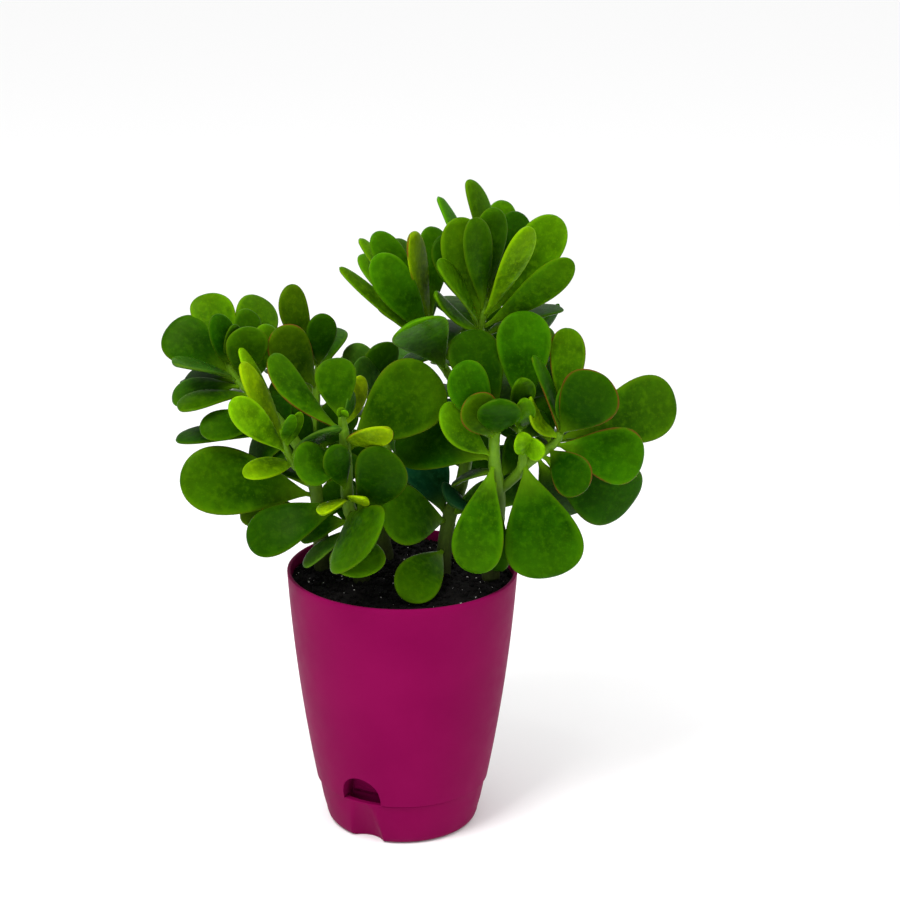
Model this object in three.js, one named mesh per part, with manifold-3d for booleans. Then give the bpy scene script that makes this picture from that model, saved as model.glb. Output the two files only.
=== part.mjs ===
// Potted jade plant: a succulent with thick paddle leaves on five rooted stems, in a tapered
// plastic pot that stands on its own water tray. Millimetres, +Z up, origin at the middle of
// the tray's underside. The front, where the pot has its fill recess, looks along -Y.
import * as THREE from 'three';
import { mergeVertices } from 'three/addons/utils/BufferGeometryUtils.js';
import Module from 'manifold-3d';

const wasm = await Module();
wasm.setup();

// ---- Driving dimensions of the pot ----
const POT_HEIGHT = 134;        // tray underside to rim
const RIM_RADIUS = 57.5;       // a 4.5 inch pot
const TAPER = 0.062;           // radius lost per mm below the rim
const CURVE = 0.00057;         // and how much faster it is lost further down, per mm squared
const WALL = 1.8;
const SEAM = 23;               // height of the tray's shoulder, where the pot sits on it
const GAP = 0.31;              // between two pieces that touch
const CUT_PAST = 4;            // how far a cutting shape runs past what it cuts
const ROUND = 32;              // sides of a turned shape
const WALL_RINGS = 4;          // stretches of the pot's curved outside
const LIP_ROUND = 0.6;         // the rim's edges are broken by this much

const FLOOR_TOP = 31.3;        // the planting floor inside the pot
const FLOOR_UNDER = 29.3;
const WICK_RADIUS = 13.6;      // the soil-filled cup that dips into the water
const WICK_BOTTOM = 6;
const WICK_WALL = 1.6;
const DRAIN_RADIUS = 1.6;
const DRAIN_RING = 26;
const DRAINS = 6;
const DRAIN_SIDES = 6;

const TRAY_TOP_RADIUS = 42.6;
const TRAY_FOOT_RADIUS = 38.6;
const TRAY_FLAT_RADIUS = 34.5; // the flat that it stands on
const TRAY_OUTSIDE = [         // [radius, height] from that flat up to the shoulder
  [TRAY_FLAT_RADIUS, 0], [36.8, 0.8], [38.3, 2.6], [38.7, 4.4], [41, 13.3], [TRAY_TOP_RADIUS, SEAM],
];
const COLLAR_RADIUS = 41.3;    // the tray's collar inside the pot's skirt
const TRAY_WALL = 1.6;
const TRAY_FLOOR = 2.2;
const TRAY_HOLLOW = [[39.4, 20], [37, 5], [35, TRAY_FLOOR], [0, TRAY_FLOOR]];

const RECESS_TURN = -28;       // degrees from the front, towards the left
const RECESS_HALF_WIDTH = 10.5;
const RECESS_TOP = 37.5;
const ARCH_STEPS = 6;
const RECESS_BACK = 33;        // how far its back wall is from the axis: water runs down here
const SPOUT_BOTTOM = 18.5;     // the recess's walls dip into the tray as a short spout
const SPOUT_REACH = 38;        // inside this radius, clear of the tray's own wall
const FLUTE_RADIUS = 11;       // the finger flute in the tray below it
const FLUTE_DEPTH_TOP = 0.2;
const FLUTE_DEPTH_FOOT = 7;
const FLUTE_SIDES = 16;

const SOIL_EDGE = 128.6;
const SOIL_RISE = 2.4;         // how much higher the soil is in the middle
const SOIL_RINGS = 5;          // rings of its crumbly top
const SOIL_BUMP = 0.5;         // height of its broad bumps, and their length over 2 pi
const BUMP_LENGTH = 3.4;
const SOIL_CRUMB = 0.35;       // and of its small crumbs
const CRUMB_LENGTH = 1.9;
const STEM_SUNK = 24;          // how deep a stem stands in the soil
const STEM_FLARE = 0.4;        // how much thicker it is there
const HOLE_MARGIN = 0.5;       // between the stem and its hole in the soil
const HOLE_SIDES = 12;

// ---- The picture plane the shoots are laid out on ----
// A point is given by how it is seen from the front: [right, up, near]. right and up are
// millimetres from the rim's centre, across the line of sight; near is how far the point stands
// in front of the pot's axis. The eye is this far from the axis and above the rim.
const EYE_DISTANCE = 1081;
const EYE_ABOVE_RIM = 410.6;
const LOOK_DOWN = THREE.MathUtils.degToRad(17.9);
const EYE = new THREE.Vector3(0, -EYE_DISTANCE, POT_HEIGHT + EYE_ABOVE_RIM);

// ---- Leaf form ----
const LEAF_THICK = 3.2;        // at its middle
const THICK_SHARE = 0.11;      // a narrow leaf's ridge is this share of its width,
const PLUMP = 0.7;             // nowhere higher than this share of the half width,
const LEAST_RIDGE = 0.1;       // and this much on top
const PETIOLE_HALF_WIDTH = 1.2;
const CUP = 0.07;              // how far the edges rise, as a share of the width
const STATIONS = [0, 0.28, 0.5, 0.71, 0.88, 0.975];
const ROOT_SUNK = 1.3;         // how deep a leaf's root stands in the stem's side
const WIDEST_MATURE = 1.3;     // power of the outline's lower half: a paddle
const YOUNG_WIDTH = 15;        // narrower leaves are young and more elliptical
const WIDEST_YOUNG = 0.8;
const STEM_SIDES = 7;

// Each shoot: its node, its name, where it starts (a foot on the soil as [x, y], or a place on
// another shoot), its stem as [right, up, near, radius], and its leaves as
// [place on the stem, right, up, near of the tip, width, turn, bow, sweep]. A place on a stem
// counts its points: 2.5 is half-way from point 2 to point 3. turn 0 faces the viewer, 90 is
// edge-on. bow and sweep are how far the middle stands off the straight line from root to tip,
// towards the leaf's face and to the right.
// "far" leaves point away: [place, azimuth from the back, rise, length, width, turn, bow].
const SHOOTS = [
  { "node": "stem_tall", "name": "crown_right", "foot": [20, -1],
    "stem": [[23, 23, -4, 3.6], [30, 44, -7, 3.2], [35, 75, -8, 2.9], [38, 105, -6, 2.6],
      [39, 121, -3, 2.4], [42, 134, -1, 1.5]],
    "leaves": [
      [5.9, 33, 193.5, -6, 15.5, 50, 0, 7], [5.3, 18, 185, -30, 14, 62, 3, 0],
      [5.0, 27.5, 174.5, 10, 22, 5, 2, 0], [5.45, 35, 174, 20, 17, 35, 2, 0],
      [5.75, 45, 179.5, 2, 18, 30, 0, 0], [5.6, 51, 183, -30, 17, 10, 2, 0],
      [5.85, 59, 177, -22, 18, 15, 2, 0], [5.3, 63, 170, 16, 17, 45, 2, 0],
      [5.15, 78.5, 174.5, -5, 23, 10, 2, 0], [4.9, 85, 153, 14, 16, 15, 1, 1],
      [4.85, 17.5, 152, 22, 16, 66, 3, 0], [4.75, 16, 137, 4, 13, 66, -2, 0],
      [5.95, 37, 141, 5, 4, 10, 1, 0], [5.1, 20, 166, -9, 21, 15, 2, 0],
      [1.0, -11, 27, 26, 31, 15, 3, 0], [0.5, 0, -15.5, 44, 23, 0, 4, 0],
      [1.1, 6, 58, -20, 25, 20, 3, 0], [1.2, 42.5, 43, 2, 12, 40, 2, 0],
      [1.6, 23, 33, 7, 18, 12, 3, 0]],
    "far": [
      [4.95, 5, 24, 46, 21, 0, 3], [4.5, 62, 12, 46, 21, 0, 3], [4.4, -22, 15, 44, 20, 0, 3],
      [3.6, -25, 8, 42, 20, 0, 3]] },
  { "node": "stem_tall", "name": "crown_left", "from": ["crown_right", 3.0],
    "stem": [[27, 90, -9, 2.4], [22, 98, -9, 2.2], [16, 107, -11, 2.0], [14, 118, -12, 1.8],
      [14, 126, -12, 1.2]],
    "leaves": [
      [3.3, -31.5, 149.5, -4, 11, 52, 0, 0], [3.6, -13.5, 155.5, 10, 19.5, 8, 2, 0],
      [4.0, -21.5, 164, -26, 13, 55, 1, 0], [3.5, -21, 156, -36, 15, 40, 1, 0],
      [4.4, -14, 167, -15, 16, 20, 2, 0], [4.6, -3.5, 164, -30, 15, 40, 2, 0],
      [4.2, 4.5, 167, 0, 18, 58, 0, 0], [4.8, 15.5, 170, -34, 17, 25, 2, 0],
      [2.0, 5, 122, 36, 28, -12, -5, 0]],
    "far": [
      [3.1, -35, 20, 44, 20, 0, 3], [2.6, 5, 12, 42, 20, 0, 3], [4.0, -10, 20, 36, 16, 0, 3]] },

  { "node": "stem_right", "name": "right_near", "foot": [44, -4],
    "stem": [[46, 12, 8, 4.0], [48, 34, 20, 3.4], [46, 52, 29, 3.0], [46, 64, 31, 2.6],
      [48, 72, 28, 2.2], [49, 80, 26, 1.4]],
    "leaves": [
      [4.9, 31.5, 118, 12, 26, 12, 3, 0], [4.4, 28.5, 102, 36, 21, 10, 2, -2],
      [4.0, 19.5, 83, 14, 14, 50, 2, 0], [3.3, 19.5, 80, 38, 18, 30, 3, -4],
      [4.1, 33, 84.5, 44, 20, 15, 3, 0], [4.3, 49, 83.5, 56, 21, 10, 2, 0],
      [3.0, 35.5, -3, 44, 25, 8, 5, 0], [2.6, 47, -2, 20, 17, 20, 4, 0],
      [3.1, -2, 69, 5, 34, 5, 4, 0], [2.7, 25.5, 41, 10, 12, 72, 2, 0],
      [2.5, 61, 62, 6, 19, 15, 2, 0], [1.7, 60, 46, 2, 20, 15, 2, 0]],
    "far": [[4.7, 10, 20, 44, 21, 0, 3], [2.4, 10, 5, 42, 20, 0, 3]] },
  { "node": "stem_right", "name": "right_middle", "from": ["right_near", 2.2],
    "stem": [[57, 46, 25, 2.5], [60, 52, 27, 2.4], [60, 62, 25, 2.1], [60, 72, 22, 1.9],
      [60, 80, 21, 1.2]],
    "leaves": [
      [2.0, 75, -5, 40, 38, 5, 5, 0], [2.5, 59, 67, 42, 10, 20, 2, 0], [2.9, 71, 59, 42, 12, 25, 2, 0],
      [4.4, 60.5, 128, 12, 26.5, 5, 3, 0], [4.8, 59, 94, 42, 13, 20, 2, 0],
      [3.7, 60.5, 84, 50, 11, 20, 2, 0], [3.3, 70, 78, 24, 14, 30, 2, 0]],
    "far": [[4.1, 35, 22, 44, 21, 0, 3], [3.2, -6, 0, 40, 19, 0, 3]] },
  { "node": "stem_right", "name": "right_far", "from": ["right_middle", 1.6],
    "stem": [[68, 56, 25, 2.4], [76, 62, 24, 2.2], [79, 68, 23, 1.9], [81, 75, 22, 1.2]],
    "leaves": [
      [2.5, 63.5, 83.5, 40, 13, 56, -4, 0], [3.6, 82.5, 119.5, 8, 18, 15, 2, 0],
      [3.3, 74, 103, 0, 13, 40, 2, 0], [3.4, 85, 93.5, 30, 14, 20, 2, 0],
      [3.2, 90, 87, 10, 13, 30, 2, 0], [2.8, 101.5, 95, 48, 29, 0, 2, 0],
      [2.4, 136, 85, -2, 32, 10, 3, 0], [2.0, 120.5, 54, 28, 28, 8, 4, 0],
      [1.6, 92, 39, 48, 21, 15, 3, 0], [1.1, 115, 32, 6, 36, 15, 4, 0],
      [2.9, 65, 105.5, 28, 12, 62, 2, 0], [1.8, 64, 84, 16, 21, 18, 2, 0],
      [0.9, 86, 27, 2, 24, 20, 3, 0]],
    "far": [[2.9, 20, 20, 44, 21, 0, 3], [2.1, 50, -8, 46, 23, 0, 3], [1.3, 10, -5, 44, 21, 0, 3]] },

  { "node": "stem_left", "name": "left_high", "foot": [-40, 8],
    "stem": [[-41, 20, -4, 3.8], [-43, 38, 4, 3.4], [-47, 52, 8, 3.0], [-56, 66, 8, 2.6],
      [-68, 80, 4, 2.4], [-79, 90, 2, 2.1], [-85, 97, 1, 1.8], [-88, 105, 0, 1.1]],
    "leaves": [
      [6.9, -117, 120, -10, 25, 8, 2, 0], [7.8, -99.5, 136, -18, 21, 5, 0, 2],
      [7.5, -93.5, 126, 7, 14, 25, 2, 0], [6.6, -70, 134.5, -38, 23, 15, 2, 0],
      [7.2, -75, 128, -20, 16, 25, 1, 0], [7.7, -84, 121, 9, 10, 40, 1, 0],
      [6.2, -77, 120, 11, 21, 15, 2, 0], [5.8, -66, 121, -12, 15, 25, 1, 0],
      [6.5, -114.5, 102, 18, 18, 76, 2, 0], [6.4, -108, 94, -12, 20, 50, 2, 0],
      [6.1, -115, 83.5, 4, 18, 45, 3, 0], [5.6, -112, 79, 20, 15, 55, 3, 0],
      [4.6, -101, 68, 20, 16, 22, 3, 0], [4.1, -113, 64, 0, 17, 58, 2, 0],
      [3.8, -76, 57, -8, 21, 30, 2, 0], [1.9, -111, 45, 20, 34, 10, 6, 0],
      [1.3, -81, 27, -6, 19, 30, 3, 0],
      [4.0, -68, 84, -6, 20, 12, 2, 0], [3.2, -64, 62, -4, 19, 15, 2, 0],
      [1.2, -29, 44, 3, 18, 20, 2, 0]],
    "far": [
      [6.3, -10, 12, 42, 21, 0, 3], [5.8, -50, -4, 42, 21, 0, 3],
      [4.7, -25, 0, 46, 22, 0, 3], [3.6, -18, -5, 44, 21, 0, 3], [2.0, -40, 5, 42, 21, 0, 3]] },
  { "node": "stem_left", "name": "left_front", "from": ["left_high", 2.8],
    "stem": [[-52, 50, 18, 2.4], [-56, 55, 24, 2.2], [-59, 62, 28, 1.8], [-60, 68, 30, 1.2]],
    "leaves": [
      [3.5, -81, 109.5, 16, 12, 55, 0, 0], [3.0, -80.5, 102, 36, 14, 45, 0, 0],
      [2.4, -86, 82.5, 50, 16, 20, 2, 0], [1.5, -79.5, 46, 38, 12, 30, 2, 0],
      [1.9, -32, 69.5, 50, 14, 62, -2, 0], [3.2, -55, 76, 52, 7, 25, 1, 0],
      [2.8, -51, 77.5, 43, 7, 25, 1, 0]],
    "far": [] },
  { "node": "stem_left", "name": "left_back", "from": ["left_high", 2.0],
    "stem": [[-43, 54, -4, 2.5], [-43, 72, -12, 2.3], [-43, 86, -15, 2.1], [-42, 98, -17, 1.8],
      [-42, 106, -18, 1.2]],
    "leaves": [
      [3.3, -63.5, 118.5, 3, 22, 12, 2, 0], [4.3, -56.5, 141, -18, 15, 10, 2, -3],
      [4.2, -40, 126.5, -4, 15, 10, 2, 0], [2.4, -66, 91, -10, 19, 25, 2, 0],
      [1.9, -25, 74, -16, 21, 20, 2, 0], [1.4, -24, 44, -8, 21, 15, 2, 0],
      [1.2, -28, 83, 1, 20, 15, 2, 0], [1.1, -60, 78, 0, 20, 15, 2, 0]],
    "far": [
      [3.7, 10, 20, 42, 19, 0, 3], [2.9, -30, 5, 44, 21, 0, 3], [4.1, -25, 20, 34, 16, 0, 3],
      [1.9, 0, -5, 44, 21, 0, 3]] },

  { "node": "stem_front", "name": "front", "foot": [-20, -10],
    "stem": [[-22, 16, 16, 3.8], [-27, 32, 26, 3.2], [-28, 52, 34, 2.9], [-29, 66, 38, 2.5],
      [-30, 73, 40, 2.0], [-30, 77, 41, 1.2]],
    "leaves": [
      [4.2, -65.5, 106, 24, 17, 38, -1, -4], [4.7, -34, 104.5, 31, 20, 8, 2, -1],
      [2.9, -54, 51.5, 52, 22, 18, 2, 0], [2.4, -35.5, 60, 52, 15, 20, 1, 0],
      [3.8, -5.5, 68.5, 55, 14, 45, 2, 0], [3.4, 17, 97, 27, 36, 5, 3, 0],
      [4.9, -25, 88, 32, 9, 60, 1, 0], [4.5, -19.5, 95, 16, 11, 30, 1, 0],
      [2.0, -77, 11, 34, 25, 22, 4, 0], [1.4, -51, 17, 12, 19, 40, 2, 0],
      [1.7, -10, 60, 50, 26, 8, 3, 5], [2.1, -40, 26.5, 54, 12, 68, 2, 0],
      [2.2, -18, 34, 46, 10, 66, 1, 0], [1.8, -18, 6, 66, 40, 33, 2, 0],
      [1.2, -22, -5, 50, 27, 0, 3, 0], [1.2, -49, 0, 32, 12, 55, 2, 0],
      [5.6, -32, 79, 45, 5, 20, 1, 0], [5.7, -28, 78, 45, 5, 20, 1, 0]],
    "far": [] },

  { "node": "stem_back", "name": "back_left", "foot": [-8, 22],
    "stem": [[-12, 32, -26, 3.6], [-8, 60, -34, 3.0], [-6, 80, -42, 2.5], [-6, 90, -46, 2.1],
      [-6, 98, -48, 1.2]],
    "leaves": [
      [4.0, -28.5, 109, -48, 17, 30, 2, 0], [4.5, -13, 111, -40, 19, 10, 2, 0],
      [3.7, -24, 100, -28, 17, 35, 1, 0], [2.2, 0, 62, -24, 17, 35, 1, 0],
      [1.5, -36, 62, -34, 25, 10, 2, 0], [1.2, 18, 50, -26, 24, 15, 2, 0],
      [1.0, -34, 34, -18, 22, 15, 2, 0]],
    "far": [
      [3.6, 0, 16, 46, 23, 0, 3], [3.1, -62, 5, 46, 23, 0, 3], [2.8, 50, 5, 48, 23, 0, 3],
      [2.4, -20, -5, 50, 25, 0, 3], [4.1, -40, 12, 36, 17, 0, 3], [4.6, 50, 10, 34, 17, 0, 3],
      [1.9, 25, -5, 48, 23, 0, 3], [1.4, -70, 10, 44, 21, 0, 3]] },
  { "node": "stem_back", "name": "back_right", "from": ["back_left", 1.4],
    "stem": [[8, 58, -40, 2.6], [30, 76, -48, 2.4], [48, 94, -52, 2.2], [57, 106, -52, 1.9],
      [60, 116, -52, 1.2]],
    "leaves": [
      [4.0, 45, 128, -46, 17, 20, 2, 0], [3.5, 30, 122, -56, 15, 30, 1, 0],
      [4.3, 78, 131.5, -46, 9, 62, 2, 0], [3.9, 76, 116, -64, 15, 30, 1, 0],
      [1.2, 48, 58, -30, 24, 15, 2, 0], [2.2, 66, 74, -36, 24, 20, 2, 0]],
    "far": [
      [4.1, 0, 16, 44, 22, 0, 3], [3.2, 50, 0, 46, 23, 0, 3], [3.0, -45, 0, 44, 21, 0, 3],
      [2.3, 20, -12, 46, 23, 0, 3], [4.6, 25, 15, 32, 16, 0, 3], [1.6, -10, -12, 44, 21, 0, 3]] },
];

// ---- Closed surfaces and solids ----
const point = (x, y, z) => new THREE.Vector3(x, y, z);

// A closed skin over rings that all have the same number of points, with a fan over each end.
function skin(rings) {
  const sides = rings[0].length;
  const middle = (ring) => ring.reduce((sum, p) => sum.add(p), point(0, 0, 0)).divideScalar(sides);
  const points = [...rings.flat(), middle(rings[0]), middle(rings.at(-1))];
  const faces = [];
  for (let side = 0; side < sides; side++) {
    const next = (side + 1) % sides;
    const last = (rings.length - 1) * sides;
    faces.push(points.length - 2, next, side);
    for (let ring = 0; ring < last; ring += sides) {
      faces.push(ring + side, ring + next, ring + sides + next);
      faces.push(ring + side, ring + sides + next, ring + sides + side);
    }
    faces.push(points.length - 1, last + side, last + next);
  }
  const geometry = new THREE.BufferGeometry().setFromPoints(points);
  geometry.setIndex(faces);
  return geometry;
}

// The same shape as a solid that can be joined and cut.
function solid(geometry) {
  geometry.deleteAttribute('normal');
  geometry.deleteAttribute('uv');
  const merged = mergeVertices(geometry, 1e-4);
  const index = Array.from(merged.index.array);
  const triVerts = [];
  for (let i = 0; i < index.length; i += 3) {
    const [a, b, c] = index.slice(i, i + 3);
    if (a !== b && b !== c && c !== a) triVerts.push(a, b, c);
  }
  const vertProperties = new Float32Array(merged.attributes.position.array);
  const mesh = new wasm.Mesh({ numProp: 3, vertProperties, triVerts: new Uint32Array(triVerts) });
  return new wasm.Manifold(mesh);
}

const joined = (solids) => solids.reduce((whole, next) => whole.add(next));

function part(name, body, color, roughness) {
  const { vertProperties, triVerts } = body.getMesh();
  const geometry = new THREE.BufferGeometry();
  geometry.setAttribute('position', new THREE.BufferAttribute(vertProperties, 3));
  geometry.setIndex(new THREE.BufferAttribute(triVerts, 1));
  const flat = geometry.toNonIndexed();
  flat.computeVertexNormals();
  const mesh = new THREE.Mesh(flat, new THREE.MeshStandardMaterial({ color, roughness, metalness: 0 }));
  mesh.name = name;
  return mesh;
}

function steps(from, to, count) {
  return Array.from({ length: count + 1 }, (_, i) => from + ((to - from) * i) / count);
}

const ringAngles = (sides) => steps(0, 2 * Math.PI, sides).slice(0, -1);

// A profile of [radius, height] turned round the Z axis.
function turned(profile, sides = ROUND) {
  const line = profile.map(([radius, height]) => new THREE.Vector2(radius, height));
  return new THREE.LatheGeometry(line, sides).rotateX(Math.PI / 2);
}

function upright(radius, low, high, x, y, sides) {
  const rod = new THREE.CylinderGeometry(radius, radius, high - low, sides).rotateX(Math.PI / 2);
  return rod.translate(x, y, (low + high) / 2);
}

// ---- The pot ----
function outerRadius(height) {
  const below = POT_HEIGHT - height;
  return RIM_RADIUS - TAPER * below - CURVE * below * below;
}

// Turns a shape built with X sideways, Y up and Z outwards to face the fill recess's direction.
function outwards(geometry) {
  const turn = THREE.MathUtils.degToRad(RECESS_TURN);
  const outward = point(Math.sin(turn), -Math.cos(turn), 0);
  const up = point(0, 0, 1);
  const sideways = new THREE.Vector3().crossVectors(up, outward);
  return geometry.applyMatrix4(new THREE.Matrix4().makeBasis(sideways, up, outward));
}

// The recess's arched prism, grown by the given margin on its sides, top and back.
function recessPrism(margin, bottom) {
  const half = RECESS_HALF_WIDTH + margin;
  const spring = RECESS_TOP - RECESS_HALF_WIDTH;
  const arch = new THREE.Shape();
  arch.moveTo(half, bottom);
  arch.lineTo(half, spring);
  arch.absarc(0, spring, half, 0, Math.PI, false);
  arch.lineTo(-half, bottom);
  const back = RECESS_BACK - margin;
  const prism = new THREE.ExtrudeGeometry(arch, {
    depth: RIM_RADIUS - back, bevelEnabled: false, curveSegments: ARCH_STEPS,
  });
  return solid(outwards(prism.translate(0, 0, back)));
}

const INNER_HEIGHTS = [POT_HEIGHT - LIP_ROUND, ...steps(SOIL_EDGE, FLOOR_TOP, 2)];

function makePot() {
  const skirt = SEAM + GAP;
  const outside = steps(skirt, POT_HEIGHT - LIP_ROUND, WALL_RINGS).map((h) => [outerRadius(h), h]);
  const lip = [RIM_RADIUS - LIP_ROUND, RIM_RADIUS - WALL + LIP_ROUND].map((r) => [r, POT_HEIGHT]);
  const innerWall = INNER_HEIGHTS.map((height) => [outerRadius(height) - WALL, height]);
  const cupRadius = WICK_RADIUS - WICK_WALL;
  const cupFloor = WICK_BOTTOM + WICK_WALL;
  const profile = [
    ...outside, ...lip, ...innerWall,
    [cupRadius, FLOOR_TOP], [cupRadius, cupFloor], [0, cupFloor],
    [0, WICK_BOTTOM], [WICK_RADIUS, WICK_BOTTOM], [WICK_RADIUS, FLOOR_UNDER],
    [outerRadius(FLOOR_UNDER) - WALL, FLOOR_UNDER], [outerRadius(skirt) - WALL, skirt], outside[0],
  ];
  const envelope = solid(turned([[0, skirt], ...outside, [0, outside.at(-1)[1]]]));
  const housing = recessPrism(WALL, SEAM - CUT_PAST).intersect(envelope);
  const dip = solid(upright(SPOUT_REACH, SPOUT_BOTTOM, skirt + WALL, 0, 0, ROUND));
  const spout = recessPrism(WALL, SEAM - 2 * CUT_PAST).intersect(dip);
  const shell = solid(turned(profile)).add(housing).add(spout);
  let pot = shell.subtract(recessPrism(0, SEAM - 3 * CUT_PAST));
  for (let i = 0; i < DRAINS; i++) {
    const angle = ((i + 0.5) / DRAINS) * 2 * Math.PI;
    const [x, y] = [DRAIN_RING * Math.cos(angle), DRAIN_RING * Math.sin(angle)];
    const [low, high] = [FLOOR_UNDER - CUT_PAST, FLOOR_TOP + CUT_PAST];
    pot = pot.subtract(solid(upright(DRAIN_RADIUS, low, high, x, y, DRAIN_SIDES)));
  }
  return pot;
}

// A leaning tapered rod just outside the tray wall, deeper into it at the foot.
function fluteRod(margin) {
  const rod = (height, depth) => {
    const wall = TRAY_FOOT_RADIUS + ((TRAY_TOP_RADIUS - TRAY_FOOT_RADIUS) * height) / SEAM;
    const centre = wall + FLUTE_RADIUS - depth;
    const radius = FLUTE_RADIUS + margin;
    return ringAngles(FLUTE_SIDES).map((angle) => (
      point(radius * Math.cos(angle), height, centre + radius * Math.sin(angle))));
  };
  const slope = (FLUTE_DEPTH_FOOT - FLUTE_DEPTH_TOP) / SEAM;
  const below = rod(-CUT_PAST, FLUTE_DEPTH_FOOT + CUT_PAST * slope);
  return solid(outwards(skin([rod(SEAM, FLUTE_DEPTH_TOP), below])));
}

function makeTray() {
  const outside = [[0, 0], ...TRAY_OUTSIDE];
  const collarTop = FLOOR_UNDER - GAP;
  const collar = [
    [COLLAR_RADIUS, SEAM], [COLLAR_RADIUS, collarTop], [COLLAR_RADIUS - TRAY_WALL, collarTop],
  ];
  const cup = solid(turned([...outside, ...collar, ...TRAY_HOLLOW, [0, 0]]));
  const envelope = solid(turned([...outside, [0, SEAM]]));
  const fluteWall = fluteRod(TRAY_WALL).intersect(envelope);
  return cup.add(fluteWall).subtract(fluteRod(0)).subtract(recessPrism(WALL + GAP, SEAM));
}

// The height of the soil's crumbly top at a place: a low mound and two crossing waves.
function soilTop(x, y) {
  const reach = Math.hypot(x, y) / RIM_RADIUS;
  const bumps = SOIL_BUMP * Math.sin(x / BUMP_LENGTH + 1) * Math.cos(y / BUMP_LENGTH);
  const crumbs = SOIL_CRUMB * Math.sin((x + y) / CRUMB_LENGTH);
  return SOIL_EDGE + SOIL_RISE * (1 - reach * reach) + bumps + crumbs;
}

function makeSoil(stemHoles) {
  const radius = outerRadius(SOIL_EDGE) - WALL - GAP;
  const heights = [FLOOR_TOP + GAP, ...INNER_HEIGHTS.slice(1, -1).reverse()];
  const sides = heights.map((height) => [outerRadius(height) - WALL - GAP, height]);
  const cup = WICK_RADIUS - WICK_WALL - GAP;
  const cupFloor = WICK_BOTTOM + WICK_WALL + GAP;
  const top = steps(radius, 0, SOIL_RINGS).slice(1).map((reach) => [reach, POT_HEIGHT]);
  const lump = turned([[0, cupFloor], [cup, cupFloor], [cup, FLOOR_TOP + GAP], ...sides, ...top]);
  const spots = lump.attributes.position;
  for (let i = 0; i < spots.count; i++) {
    if (spots.getZ(i) === POT_HEIGHT) spots.setZ(i, soilTop(spots.getX(i), spots.getY(i)));
  }
  return solid(lump).subtract(recessPrism(WALL + GAP, FLOOR_UNDER - 3)).subtract(joined(stemHoles));
}

// ---- Shoots ----
// The place of a point that is seen at right and up, and stands near in front of the axis.
function seen(right, up, near) {
  const plane = point(right, up * Math.sin(LOOK_DOWN), POT_HEIGHT + up * Math.cos(LOOK_DOWN));
  const share = (EYE_DISTANCE - near) / (plane.y - EYE.y);
  return plane.sub(EYE).multiplyScalar(share).add(EYE);
}

// A smooth line through knots { at, radius }, at a place that counts the knots.
function along(knots, place) {
  const from = Math.min(Math.floor(place), knots.length - 2);
  const t = place - from;
  const [a, b] = [knots[from], knots[from + 1]];
  const before = knots[from - 1] ?? a;
  const after = knots[from + 2] ?? b;
  const slopeA = b.at.clone().sub(before.at).multiplyScalar(0.5);
  const slopeB = after.at.clone().sub(a.at).multiplyScalar(0.5);
  const at = a.at.clone().multiplyScalar(2 * t ** 3 - 3 * t ** 2 + 1);
  at.addScaledVector(slopeA, t ** 3 - 2 * t ** 2 + t);
  at.addScaledVector(b.at, 3 * t ** 2 - 2 * t ** 3);
  at.addScaledVector(slopeB, t ** 3 - t ** 2);
  return { at, radius: a.radius + (b.radius - a.radius) * t };
}

function stemKnots(shoot, shoots) {
  const knots = shoot.stem.map(([right, up, near, radius]) => ({ at: seen(right, up, near), radius }));
  if (shoot.from) {
    const [parent, place] = shoot.from;
    const start = along(shoots.find((other) => other.name === parent).knots, place);
    return [{ at: start.at, radius: knots[0].radius }, ...knots];
  }
  const [x, y] = shoot.foot;
  return [{ at: point(x, y, soilTop(x, y)), radius: knots[0].radius + STEM_FLARE }, ...knots];
}

// A stem: rings square to the line through its knots, and a straight root below the soil.
function makeStem(shoot) {
  const line = shoot.knots.map(({ at, radius }) => ({ at: at.clone(), radius }));
  if (shoot.foot) {
    const root = line[0].at.clone();
    root.z -= STEM_SUNK;
    line.unshift({ at: root, radius: line[0].radius });
  }
  return line.map(({ at, radius }, i) => {
    const ahead = line[Math.min(i + 1, line.length - 1)].at;
    const behind = line[Math.max(i - 1, 0)].at;
    const rootward = shoot.foot && i < 2;
    const run = rootward ? point(0, 0, 1) : ahead.clone().sub(behind).normalize();
    const side = new THREE.Vector3().crossVectors(run, point(0, 1, 0)).normalize();
    const front = new THREE.Vector3().crossVectors(run, side);
    return ringAngles(STEM_SIDES).map((angle) => {
      const spoke = side.clone().multiplyScalar(Math.cos(angle)).addScaledVector(front, Math.sin(angle));
      return at.clone().addScaledVector(spoke, radius);
    });
  });
}

// The outline of a leaf: half its width at a share of its length, 1 at the widest.
function outline(share, power) {
  const widest = power / (power + 0.5);
  return (share / widest) ** power * Math.sqrt((1 - share) / (1 - widest));
}

// A leaf from root to tip: lens-shaped sections square to a bowed midline.
function makeLeaf({ root, tip, face, width, bow, sweep = 0 }) {
  const length = tip.distanceTo(root);
  const run = tip.clone().sub(root).normalize();
  const side = new THREE.Vector3().crossVectors(run, face);
  const rightward = Math.sign(side.x) * sweep;
  const power = width < YOUNG_WIDTH ? WIDEST_YOUNG : WIDEST_MATURE;
  return STATIONS.map((share) => {
    const middle = root.clone().addScaledVector(run, length * share);
    const arch = 4 * share * (1 - share);
    middle.addScaledVector(face, bow * arch).addScaledVector(side, rightward * arch);
    const half = Math.max(PETIOLE_HALF_WIDTH * (1 - share), (outline(share, power) * width) / 2);
    const high = Math.min(LEAF_THICK / 2, width * THICK_SHARE, half * PLUMP) + LEAST_RIDGE;
    const rim = (sign) => middle.clone().addScaledVector(side, sign * half)
      .addScaledVector(face, CUP * half);
    const ridge = (rise) => middle.clone().addScaledVector(face, rise);
    return [rim(1), ridge(-high), rim(-1), ridge(high)];
  });
}

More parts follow.
